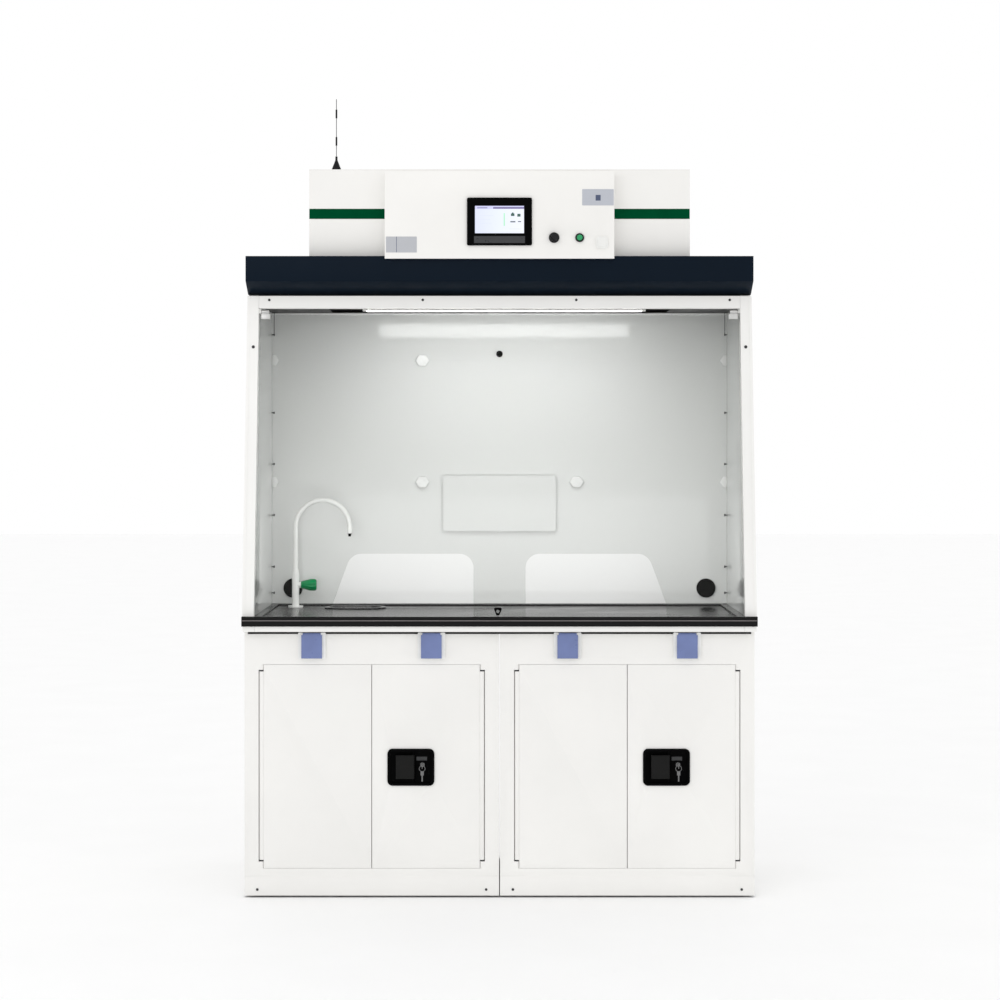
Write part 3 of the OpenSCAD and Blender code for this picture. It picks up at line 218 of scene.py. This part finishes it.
def glowing(name, color, strength):
    """Lit diffuser: even light with a trace of banding."""
    finish = Finish(name)
    band = finish.noise(60, 2, 0.5)
    finish.join(finish.ramp(band, [(0.2, shade(color, 0.92)), (0.8, color)]),
                finish.shader.inputs["Emission Color"])
    finish.put(Base_Color=(*color, 1), Roughness=0.5, Emission_Strength=strength)
    return finish.material


def felt(name, color):
    """Filter felt: tangled fibres that scatter all light."""
    finish = Finish(name)
    finish.join(finish.ramp(finish.noise(500, 5, 0.7), [(0.3, shade(color, 0.75)), (0.7, color)]),
                finish.shader.inputs["Base Color"])
    finish.bump(finish.noise(900, 4, 0.7), 0.0006, 0.8)
    finish.put(Roughness=0.95)
    return finish.material


def perforated_case(name):
    """Black perforated case: rows of small round holes, darker than the sheet between them."""
    finish = Finish(name)
    cells = finish.add("ShaderNodeTexVoronoi")
    cells.inputs["Scale"].default_value = 160
    cells.inputs["Randomness"].default_value = 0.0
    finish.join(finish.coords, cells.inputs["Vector"])
    holes = finish.ramp(cells.outputs["Distance"],
                        [(0.28, (0.004, 0.004, 0.004)), (0.36, (0.05, 0.05, 0.052))])
    finish.join(holes, finish.shader.inputs["Base Color"])
    finish.bump(finish.spread(cells.outputs["Distance"], 0, 1, 0.28, 0.36), 0.0008, 0.6)
    finish.put(Roughness=0.5, Metallic=0.6)
    return finish.material


white_coat = powder_coat("white_powder_coat", (0.86, 0.855, 0.835))
cabinet_coat = powder_coat("cabinet_powder_coat", (0.87, 0.862, 0.84), 0.42)
housing_coat = powder_coat("housing_powder_coat", (0.86, 0.85, 0.825), 0.36)
navy_coat = powder_coat("navy_powder_coat", (0.003, 0.008, 0.016), 0.42, 0.5, 0.12, 0.06)
# The ceiling panel is painted near black as painted shade: it stands in for the shaded band above the lamp
# and under the top rail.
ceiling_shade_coat = powder_coat("ceiling_painted_shade", (0.03, 0.03, 0.03), 0.5)
lining = laminate("lining_laminate", (0.78, 0.785, 0.775))
slab = polished_slab("bench_slab", (0.0015, 0.0013, 0.0013))
sink_plastic = moulded_plastic("sink_plastic", (0.01, 0.0105, 0.011), 0.28, coat=0.3)
green_film = moulded_plastic("green_film", (0.0002, 0.062, 0.022), 0.4, 600, 0.00002, 0.3, sheen=0.0)
lock_plastic = moulded_plastic("lock_plastic", (0.0012, 0.0012, 0.0013), 0.4, sheen=0.03)
paddle_plastic = moulded_plastic("paddle_plastic", (0.009, 0.009, 0.0088), 0.42, sheen=0.1)
switch_plastic = moulded_plastic("switch_plastic", (0.012, 0.012, 0.013), 0.36, sheen=0.2)
white_plastic = moulded_plastic("white_plastic", (0.84, 0.84, 0.82), 0.32, 700, 0.00002, 0.3, 0.2)
blue_plastic = moulded_plastic("socket_blue", (0.15, 0.195, 0.4), 0.33, 700, 0.00003, 0.4, 0.2)
clip_plastic = moulded_plastic("clip_plastic", (0.93, 0.93, 0.92), 0.3, 500, 0.00002, 0.3, 0.3)
rubber = moulded_plastic("port_rubber", (0.006, 0.0058, 0.0052), 0.55, 500, 0.0001, 0.6, sheen=0.08)
whip_plastic = moulded_plastic("whip_plastic", (0.006, 0.006, 0.007), 0.36, sheen=0.15)
tap_coat = powder_coat("tap_epoxy", (0.93, 0.93, 0.915), 0.25, 0.35)
tap_green = moulded_plastic("tap_green", (0.0, 0.25, 0.075), 0.22, 600, 0.00003, 0.4, 0.25, sheen=0.25)
button_green = moulded_plastic("button_green", (0.0, 0.28, 0.09), 0.16, 500, 0.00001, 0.2, 0.5)
plated = plated_metal("nickel_plate", (0.2, 0.2, 0.2), 0.26)
bolt_steel = plated_metal("zinc_plate", (0.6, 0.6, 0.58), 0.3)
clamp_steel = plated_metal("clamp_steel", (0.62, 0.62, 0.61), 0.34)
dark_steel = plated_metal("black_oxide", (0.06, 0.06, 0.062), 0.4)
zinc_sheet = spangled_zinc("galvanised_sheet")
acrylic = clear_sheet("clear_acrylic")
lamp_case = moulded_plastic("lamp_case", (0.85, 0.85, 0.83), 0.35)
carbon_case = perforated_case("carbon_case")
fibre = felt("filter_fibre", (0.035, 0.035, 0.034))

finishes = {
    white_coat: ["left_post", "right_post", "top_rail", "left_side_panel", "right_side_panel", "back_panel",
                 "apron_frame"],
    cabinet_coat: ["left_cabinet", "right_cabinet", "cabinet_shelves", "left_plain_door", "left_lock_door",
                   "right_plain_door", "right_lock_door"],
    housing_coat: ["filter_housing", "exhaust_cover", "control_panel"],
    navy_coat: ["header_canopy"],
    ceiling_shade_coat: ["ceiling_panel"],
    lining: ["liner_boards"],
    slab: ["worktop"],
    sink_plastic: ["cup_sink"],
    green_film: ["trim_stripes"],
    lock_plastic: ["left_lock_housing", "right_lock_housing", "touch_panel", "visor_fittings"],
    paddle_plastic: ["left_paddle", "right_paddle"],
    switch_plastic: ["selector_knob", "controller", "left_impeller", "right_impeller", "control_bezels"],
    white_plastic: ["levelling_feet", "socket_outlets"],
    blue_plastic: ["socket_cover_1", "socket_cover_2", "socket_cover_3", "socket_cover_4"],
    clip_plastic: ["baffle_clips"],
    rubber: ["service_ports", "tap_nozzle"],
    whip_plastic: ["antenna"],
    tap_coat: ["tap_body", "tap_spout"],
    tap_green: ["tap_handle"],
    button_green: ["start_button"],
    plated: ["left_key", "right_key"],
    bolt_steel: ["left_latch_bolt", "right_latch_bolt", "visor_brackets"],
    dark_steel: ["panel_screws", "hinge_pins"],
    zinc_sheet: ["fan_housings"],
    acrylic: ["front_visor"],
    lamp_case: ["lamp"],
    carbon_case: ["carbon_filters"],
    fibre: ["prefilters"],
}
node_finish = {node: finish for finish, named in finishes.items() for node in named}


def wear_finish(piece, finish):
    piece.data.materials.clear()
    piece.data.materials.append(finish)


for node, piece in nodes.items():
    for place in piece.material_slots:
        place.material = node_finish[node]


# ---------------------------------------------------------------- modelling helpers

def deselect():
    if bpy.context.object and bpy.context.object.mode != "OBJECT":
        bpy.ops.object.mode_set(mode="OBJECT")
    bpy.ops.object.select_all(action="DESELECT")


def take(piece):
    deselect()
    piece.select_set(True)
    bpy.context.view_layer.objects.active = piece


def settle(piece):
    """Puts the piece's place into its mesh, with its object at the origin."""
    take(piece)
    bpy.ops.object.transform_apply(location=True, rotation=True, scale=True)


def apply_all(piece):
    take(piece)
    for modifier in list(piece.modifiers):
        bpy.ops.object.modifier_apply(modifier=modifier.name)


def bevelled(piece, width, segments=2):
    """Rounds the edges that turn by more than 30 degrees."""
    bevel = piece.modifiers.new("edge_round", "BEVEL")
    bevel.width = width
    bevel.segments = segments
    bevel.limit_method = "ANGLE"
    bevel.angle_limit = math.radians(30)
    bevel.harden_normals = False
    bevel.use_clamp_overlap = True
    apply_all(piece)


def smooth(piece):
    take(piece)
    bpy.ops.object.shade_smooth_by_angle(angle=math.radians(35))


def finish_piece(piece, name, finish, body):
    """Names a piece, gives it its finish, and fixes it to the body that carries it."""
    piece.name = name
    piece.data.name = name
    wear_finish(piece, finish)
    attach(piece, body)


def softened(node, width, segments=2):
    """A copy of a CAD node with its edges rounded, as folded sheet and moulded plastic have them."""
    source = nodes[node]
    piece = source.copy()
    piece.data = source.data.copy()
    piece.parent = None
    piece.matrix_world = source.matrix_world.copy()
    bpy.context.collection.objects.link(piece)
    take(piece)
    bpy.ops.object.mode_set(mode="EDIT")
    bpy.ops.mesh.select_all(action="SELECT")
    bpy.ops.mesh.remove_doubles(threshold=0.00001)
    bpy.ops.mesh.dissolve_limited(angle_limit=math.radians(0.6), delimit={"NORMAL"})
    bpy.ops.object.mode_set(mode="OBJECT")
    settle(piece)
    bevelled(piece, width, segments)
    smooth(piece)
    finish_piece(piece, node + "_rounded", node_finish[node], node_body[node])
    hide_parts(node)
    return piece


def second_finish(piece, finish, test):
    """Gives another finish to the faces whose middle passes the test."""
    piece.data.materials.append(finish)
    for face in piece.data.polygons:
        if test(face.center):
            face.material_index = 1


def plate(low, high):
    """A box from corner to corner, ready to be shaped."""
    deselect()
    low, high = Vector(low), Vector(high)
    bpy.ops.mesh.primitive_cube_add(size=1, location=(low + high) / 2, scale=high - low)
    piece = bpy.context.object
    settle(piece)
    return piece


def round_bar(center, radius, length):
    """A round bar along X, ready to be shaped."""
    deselect()
    bpy.ops.mesh.primitive_cylinder_add(vertices=32, radius=radius, depth=length, location=center,
                                        rotation=(0, math.pi / 2, 0))
    piece = bpy.context.object
    settle(piece)
    return piece


def join_pieces(pieces):
    """Makes the pieces one object, the first of them."""
    deselect()
    for piece in pieces:
        piece.select_set(True)
    bpy.context.view_layer.objects.active = pieces[0]
    bpy.ops.object.join()
    return pieces[0]


# ---------------------------------------------------------------- rounded CAD pieces

SENSOR_SIDE = 290 * MM      # the presence sensor lies beyond this, the two switch bezels before it
CLAMP_HEIGHT = 1.5          # the visor's clamps are above this, its finger ring below
NOZZLE_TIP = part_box("tap_nozzle")[0].z + 10.5 * MM

for node in ("left_cabinet", "right_cabinet", "left_plain_door", "left_lock_door", "right_plain_door",
             "right_lock_door"):
    softened(node, 0.5 * MM)
for node in ("control_panel", "filter_housing", "header_canopy"):
    softened(node, 0.7 * MM)
softened("worktop", 0.7 * MM, 3)
for node in ("left_lock_housing", "right_lock_housing"):
    softened(node, 0.5 * MM)
for node in ("left_paddle", "right_paddle"):
    softened(node, 1.0 * MM, 3)
for node in ("socket_cover_1", "socket_cover_2", "socket_cover_3", "socket_cover_4"):
    softened(node, 0.8 * MM, 3)
softened("touch_panel", 0.9 * MM, 3)
softened("selector_knob", 0.8 * MM, 3)
second_finish(softened("control_bezels", 0.6 * MM, 3), white_plastic, lambda place: place.x > SENSOR_SIDE)
second_finish(softened("visor_fittings", 0.5 * MM, 2), clamp_steel, lambda place: place.z > CLAMP_HEIGHT)
second_finish(softened("tap_nozzle", 0.4 * MM, 2), tap_coat, lambda place: place.z > NOZZLE_TIP)
softened("baffle_clips", 1.5 * MM, 3)
softened("tap_handle", 1.5 * MM, 3)
softened("cup_sink", 1.0 * MM, 2)

# ---------------------------------------------------------------- touch screen

screen_low, screen_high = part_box("touch_panel")
screen_x = (screen_low.x + screen_high.x) / 2
screen_z = (screen_low.z + screen_high.z) / 2
GLASS_W = 154 * MM
GLASS_H = 86 * MM
GLASS_UP = 6 * MM           # middle of the glass, above the middle of the bezel
GLASS_T = 0.7 * MM
STRIP_HALF = 80 * MM        # of the dark strip below the glass
STRIP_LOW = 68 * MM         # its lower and upper edges, below the middle of the bezel
STRIP_HIGH = 46 * MM


def display_finish():
    """A lit control page: a title bar, a pale field, a green wedge, small icons and a thin rule."""
    finish = Finish("display_page")
    axis = finish.add("ShaderNodeSeparateXYZ")
    mapping = finish.add("ShaderNodeMapping")
    mapping.inputs["Location"].default_value = (-screen_x, 0, -(screen_z + GLASS_UP))
    finish.join(finish.coords, mapping.inputs["Vector"])
    finish.join(mapping.outputs["Vector"], axis.inputs["Vector"])
    across, up = axis.outputs["X"], axis.outputs["Z"]

    def within(source, low, high):
        above = finish.add("ShaderNodeMath", operation="GREATER_THAN")
        above.inputs[1].default_value = low
        below = finish.add("ShaderNodeMath", operation="LESS_THAN")
        below.inputs[1].default_value = high
        both = finish.add("ShaderNodeMath", operation="MULTIPLY")
        finish.join(source, above.inputs[0])
        finish.join(source, below.inputs[0])
        finish.join(above.outputs[0], both.inputs[0])
        finish.join(below.outputs[0], both.inputs[1])
        return both.outputs[0]

    def area(x0, x1, z0, z1):
        both = finish.add("ShaderNodeMath", operation="MULTIPLY")
        finish.join(within(across, x0 * MM, x1 * MM), both.inputs[0])
        finish.join(within(up, z0 * MM, z1 * MM), both.inputs[1])
        return both.outputs[0]

    def paint(under, mask, color):
        mix = finish.add("ShaderNodeMix", data_type="RGBA")
        finish.join(mask, mix.inputs["Factor"])
        finish.join(under, mix.inputs["A"])
        mix.inputs["B"].default_value = (*color, 1)
        return mix.outputs["Result"]

    page = finish.ramp(finish.spread(across, 0, 1, -0.077, 0.077),
                       [(0.0, (0.72, 0.76, 0.93)), (0.5, (0.8, 0.85, 0.96)), (1.0, (0.86, 0.88, 0.97))])
    page = paint(page, area(-77, 77, 33, 43), (0.62, 0.62, 0.9))
    page = paint(page, area(-70, -38, 35, 39), (0.3, 0.3, 0.52))
    page = paint(page, area(-20, 77, 34, 39), (0.13, 0.1, 0.28))
    page = paint(page, area(13, 17, -20, 20), (0.42, 0.86, 0.55))
    for x0, x1, z0, z1 in ((36, 47, 11, 19), (56, 66, 9, 18), (39, 44, 19, 22)):
        page = paint(page, area(x0, x1, z0, z1), (0.02, 0.09, 0.07))
    for x0, x1, z0, z1 in ((34, 50, -9, -5), (58, 68, -8, -5)):
        page = paint(page, area(x0, x1, z0, z1), (0.1, 0.12, 0.16))
    for x0, x1, z0, z1 in ((-64, -20, 12, 13), (-64, -30, 0, 1), (-64, -24, -12, -11), (30, 70, -30, -29)):
        page = paint(page, area(x0, x1, z0, z1), (0.7, 0.75, 0.92))
    finish.join(page, finish.shader.inputs["Emission Color"])
    dark = finish.add("ShaderNodeMix", data_type="RGBA")
    dark.inputs["Factor"].default_value = 0.8
    finish.join(page, dark.inputs["A"])
    dark.inputs["B"].default_value = (0.02, 0.02, 0.02, 1)
    finish.join(dark.outputs["Result"], finish.shader.inputs["Base Color"])
    finish.put(Emission_Strength=0.85, Roughness=0.12, Coat_Weight=0.4, Coat_Roughness=0.05)
    return finish.material


display_y = screen_low.y + 1 * MM
glass = plate((screen_x - GLASS_W / 2, display_y - GLASS_T, screen_z + GLASS_UP - GLASS_H / 2),
              (screen_x + GLASS_W / 2, display_y, screen_z + GLASS_UP + GLASS_H / 2))
bevelled(glass, 0.25 * MM, 2)
finish_piece(glass, "touch_screen_glass", display_finish(), "hood")

strip = plate((screen_x - STRIP_HALF, screen_low.y - 0.4 * MM, screen_z - STRIP_LOW),
              (screen_x + STRIP_HALF, screen_low.y + 0.1 * MM, screen_z - STRIP_HIGH))
bevelled(strip, 0.2 * MM, 2)
strip_plastic = moulded_plastic("bezel_strip", (0.03, 0.031, 0.034), 0.3)
finish_piece(strip, "touch_panel_lower_strip", strip_plastic, "hood")

# ---------------------------------------------------------------- plates on the control panel

panel_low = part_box("control_panel")[0]


def foil(name, color, line_x=None, square=None):
    """A printed silver foil plate, with a rule or a plain square and nothing to read."""
    finish = Finish(name)
    streak = finish.noise(250, 3, 0.6, (0.1, 1, 1))
    page = finish.ramp(streak, [(0.3, shade(color, 0.985)), (0.7, shade(color, 1.01))])
    axis = finish.add("ShaderNodeSeparateXYZ")
    finish.join(finish.coords, axis.inputs["Vector"])

    def strip_mask(source, middle, half):
        away = finish.add("ShaderNodeMath", operation="SUBTRACT")
        away.inputs[1].default_value = middle
        size = finish.add("ShaderNodeMath", operation="ABSOLUTE")
        inside = finish.add("ShaderNodeMath", operation="LESS_THAN")
        inside.inputs[1].default_value = half
        finish.join(source, away.inputs[0])
        finish.join(away.outputs[0], size.inputs[0])
        finish.join(size.outputs[0], inside.inputs[0])
        return inside.outputs[0]

    mask = None
    if line_x is not None:
        mask = strip_mask(axis.outputs["X"], line_x, 0.8 * MM)
    if square is not None:
        both = finish.add("ShaderNodeMath", operation="MULTIPLY")
        finish.join(strip_mask(axis.outputs["X"], square[0], 8 * MM), both.inputs[0])
        finish.join(strip_mask(axis.outputs["Z"], square[1], 9 * MM), both.inputs[1])
        mask = both.outputs[0]
    mix = finish.add("ShaderNodeMix", data_type="RGBA")
    finish.join(mask, mix.inputs["Factor"])
    finish.join(page, mix.inputs["A"])
    mix.inputs["B"].default_value = (0.07, 0.09, 0.16, 1)
    finish.join(mix.outputs["Result"], finish.shader.inputs["Base Color"])
    finish.join(finish.spread(streak, 0.35, 0.42), finish.shader.inputs["Roughness"])
    finish.put(Metallic=0.35)
    return finish.material


def foil_plate(name, x0, x1, up0, up1, finish):
    piece = plate((x0, panel_low.y - 0.6 * MM, panel_low.z + up0), (x1, panel_low.y, panel_low.z + up1))
    bevelled(piece, 0.2 * MM, 2)
    finish_piece(piece, name, finish, "hood")


foil_plate("rating_plate", -357 * MM, -260 * MM, 19 * MM, 69 * MM,
           foil("rating_foil", (0.46, 0.47, 0.5), -324 * MM))
foil_plate("guide_plate", 260 * MM, 359 * MM, 167 * MM, 218 * MM,
           foil("guide_foil", (0.47, 0.49, 0.54), None, (310 * MM, panel_low.z + 191 * MM)))

# ---------------------------------------------------------------- lamp

lamp_low, lamp_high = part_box("lamp")
lamp_x = (lamp_low.x + lamp_high.x) / 2
CAP_L = 12 * MM             # of the lamp's end caps
DIFFUSER_L = lamp_high.x - lamp_low.x - 2 * CAP_L
DIFFUSER_R = 9 * MM
DIFFUSER_TOP = 6 * MM       # its flattened top and bottom, from the underside of the lamp's case
DIFFUSER_DROP = 1 * MM
lamp_y = (lamp_low.y + lamp_high.y) / 2
tube = round_bar((lamp_x, lamp_y, lamp_low.z + 2 * MM), DIFFUSER_R, DIFFUSER_L - 2 * MM)
for vertex in tube.data.vertices:
    vertex.co.z = max(min(vertex.co.z, lamp_low.z + DIFFUSER_TOP), lamp_low.z - DIFFUSER_DROP)
bevelled(tube, 0.6 * MM, 2)
smooth(tube)
finish_piece(tube, "lamp_diffuser", glowing("lamp_glow", (1.0, 0.99, 0.96), 6.0), "hood")

# ---------------------------------------------------------------- dark strip between the apron and the cabinets, painted shade of the shadow gap

cabinet_low, cabinet_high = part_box("left_cabinet")
SHADOW_STRIP_HALF = 784 * MM
SHADOW_STRIP_BITE = 0.2 * MM        # how far the dark strip is pressed into the cabinets and the apron
LIP_REACH = 5.5 * MM        # short enough to clear the socket covers as they flip up
LIP_H = 2.6 * MM
WEB_T = 1.2 * MM
WEB_H = 9 * MM
# A black rubber strip under the apron's front edge stands in for the shadow gap there: painted shade.
lip = plate((-SHADOW_STRIP_HALF, cabinet_low.y - LIP_REACH, cabinet_high.z - LIP_H),
            (SHADOW_STRIP_HALF, cabinet_low.y + SHADOW_STRIP_BITE, cabinet_high.z + SHADOW_STRIP_BITE))
bevelled(lip, 0.4 * MM, 2)
web = plate((-SHADOW_STRIP_HALF, cabinet_low.y - WEB_T, cabinet_high.z - WEB_H),
            (SHADOW_STRIP_HALF, cabinet_low.y + SHADOW_STRIP_BITE, cabinet_high.z - 1 * MM))
bevelled(web, 0.4 * MM, 2)
finish_piece(join_pieces([lip, web]), "apron_shadow_strip", rubber, "hood")

# ---------------------------------------------------------------- painted highlight along the worktop's front edge

top_low, top_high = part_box("worktop")
EDGE_HIGHLIGHT_DROP = 13 * MM        # of the groove between the worktop's two layers, below the rim, where a lighter strip is a painted highlight
EDGE_HIGHLIGHT_H = 1.5 * MM
line_z = top_high.z - EDGE_HIGHLIGHT_DROP
edge_highlight = plate((top_low.x + 2 * MM, top_low.y + 0.1 * MM, line_z),
                  (top_high.x - 2 * MM, top_low.y + 1.1 * MM, line_z + EDGE_HIGHLIGHT_H))
bevelled(edge_highlight, 0.3 * MM, 2)
# The strip is painted lighter than the black slab and stands for the highlight that the groove catches:
# painted highlight.
edge_highlight_finish = moulded_plastic("edge_highlight", (0.34, 0.31, 0.31), 0.35)
finish_piece(edge_highlight, "worktop_edge_highlight", edge_highlight_finish, "hood")

# ---------------------------------------------------------------- fillers in the joints of the back boards

BOARD_FRONT = 225 * MM          # front face of the back boards
BOARD_HALF = 763 * MM
FILLER_SUNK = 0.35 * MM         # front of a filler, behind the boards' face
FILLER_BACK = 4.5 * MM
FILLER_HALF_H = 0.46 * MM       # just under half of the gap
SEAM_LINES = (409.4 * MM, 817.9 * MM)   # middles of the joints, above the top of the worktop's rim
for number, line in enumerate(SEAM_LINES, 1):
    seam_z = top_high.z + line
    filler = plate((-BOARD_HALF, BOARD_FRONT + FILLER_SUNK, seam_z - FILLER_HALF_H),
                   (BOARD_HALF, BOARD_FRONT + FILLER_BACK, seam_z + FILLER_HALF_H))
    bevelled(filler, 0.1 * MM, 2)
    finish_piece(filler, "seam_filler_%d" % number, lining, "hood")

# ---------------------------------------------------------------- painted highlight plates on the locks

LOCK_FLOOR = 16 * MM            # from the front of the lock's flange to the floor of its recess
LOCK_HIGHLIGHT_X = (17 * MM, 50 * MM)       # its edges, right of and above the middle of the lock
LOCK_HIGHLIGHT_Z = (19 * MM, 31 * MM)
# A grey plate, lighter than the black lock housing, stands in for a highlight on the housing: painted
# highlight.
lock_highlight_finish = moulded_plastic("lock_highlight_grey", (0.035, 0.036, 0.038), 0.35)
for side in ("left", "right"):
    lock_low, lock_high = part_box(side + "_lock_housing")
    middle = (lock_low + lock_high) / 2
    floor_y = lock_low.y + LOCK_FLOOR
    lock_highlight_plate = plate((middle.x + LOCK_HIGHLIGHT_X[0], floor_y - 1.6 * MM, middle.z + LOCK_HIGHLIGHT_Z[0]),
                       (middle.x + LOCK_HIGHLIGHT_X[1], floor_y + 0.2 * MM, middle.z + LOCK_HIGHLIGHT_Z[1]))
    bevelled(lock_highlight_plate, 0.5 * MM, 2)
    finish_piece(lock_highlight_plate, side + "_lock_highlight_plate", lock_highlight_finish, node_body[side + "_lock_housing"])

# ---------------------------------------------------------------- floor, light and camera

floor_finish = Finish("studio_floor")
floor_tone = floor_finish.ramp(floor_finish.noise(3, 3),
                               [(0.3, (0.965, 0.965, 0.965)), (0.7, (0.98, 0.98, 0.98))])
floor_finish.join(floor_tone, floor_finish.shader.inputs["Base Color"])
floor_finish.put(Roughness=0.7)
deselect()
bpy.ops.mesh.primitive_plane_add(size=60, location=(0, 0, 0))
floor = bpy.context.object
floor.name = "studio_floor"
wear_finish(floor, floor_finish.material)

world = bpy.data.worlds.new("studio")
bpy.context.scene.world = world
world.use_nodes = True
world.node_tree.nodes["Background"].inputs["Color"].default_value = (1, 1, 1, 1)
world.node_tree.nodes["Background"].inputs["Strength"].default_value = 1.0
bpy.context.scene.view_settings.view_transform = "Standard"


def area_light(name, place, aim, width, power, height):
    """A soft panel of light at a place, facing the point that it is aimed at."""
    light = bpy.data.lights.new(name, "AREA")
    light.shape = "RECTANGLE"
    light.size = width
    light.size_y = height
    light.energy = power
    lamp_object = bpy.data.objects.new(name, light)
    lamp_object.location = place
    lamp_object.rotation_euler = (Vector(aim) - Vector(place)).to_track_quat("-Z", "Y").to_euler()
    bpy.context.collection.objects.link(lamp_object)


MIDDLE_OF_HOOD = (0, 0, 1.1)
area_light("key_light", (-2.6, -5.2, 3.8), MIDDLE_OF_HOOD, 3.0, 26, 3.0)
area_light("fill_light", (3.2, -5.0, 2.6), MIDDLE_OF_HOOD, 3.0, 6, 3.0)
area_light("chamber_light", (lamp_x, lamp_low.y + 16 * MM, lamp_low.z - 24 * MM), (lamp_x, BOARD_FRONT, 1.2),
           DIFFUSER_L, 2.2, 0.08)
area_light("chamber_fill", (0, -0.2, 1.06), (0, BOARD_FRONT, 1.0), 1.48, 2.1, 0.34)

WORKTOP_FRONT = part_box("worktop")[0].y
CAMERA_DISTANCE = 7.0       # in front of the worktop
CAMERA_HEIGHT = 1.394
LENS = 81.36
camera_data = bpy.data.cameras.new("camera")
camera_data.lens = LENS
camera_data.sensor_width = 36
camera_data.shift_x = 0.0005
camera_data.shift_y = -0.05
camera_data.clip_end = 100
camera = bpy.data.objects.new("camera", camera_data)
camera.location = (0, WORKTOP_FRONT - CAMERA_DISTANCE, CAMERA_HEIGHT)
camera.rotation_euler = (math.pi / 2, 0, 0)
bpy.context.collection.objects.link(camera)
bpy.context.scene.camera = camera
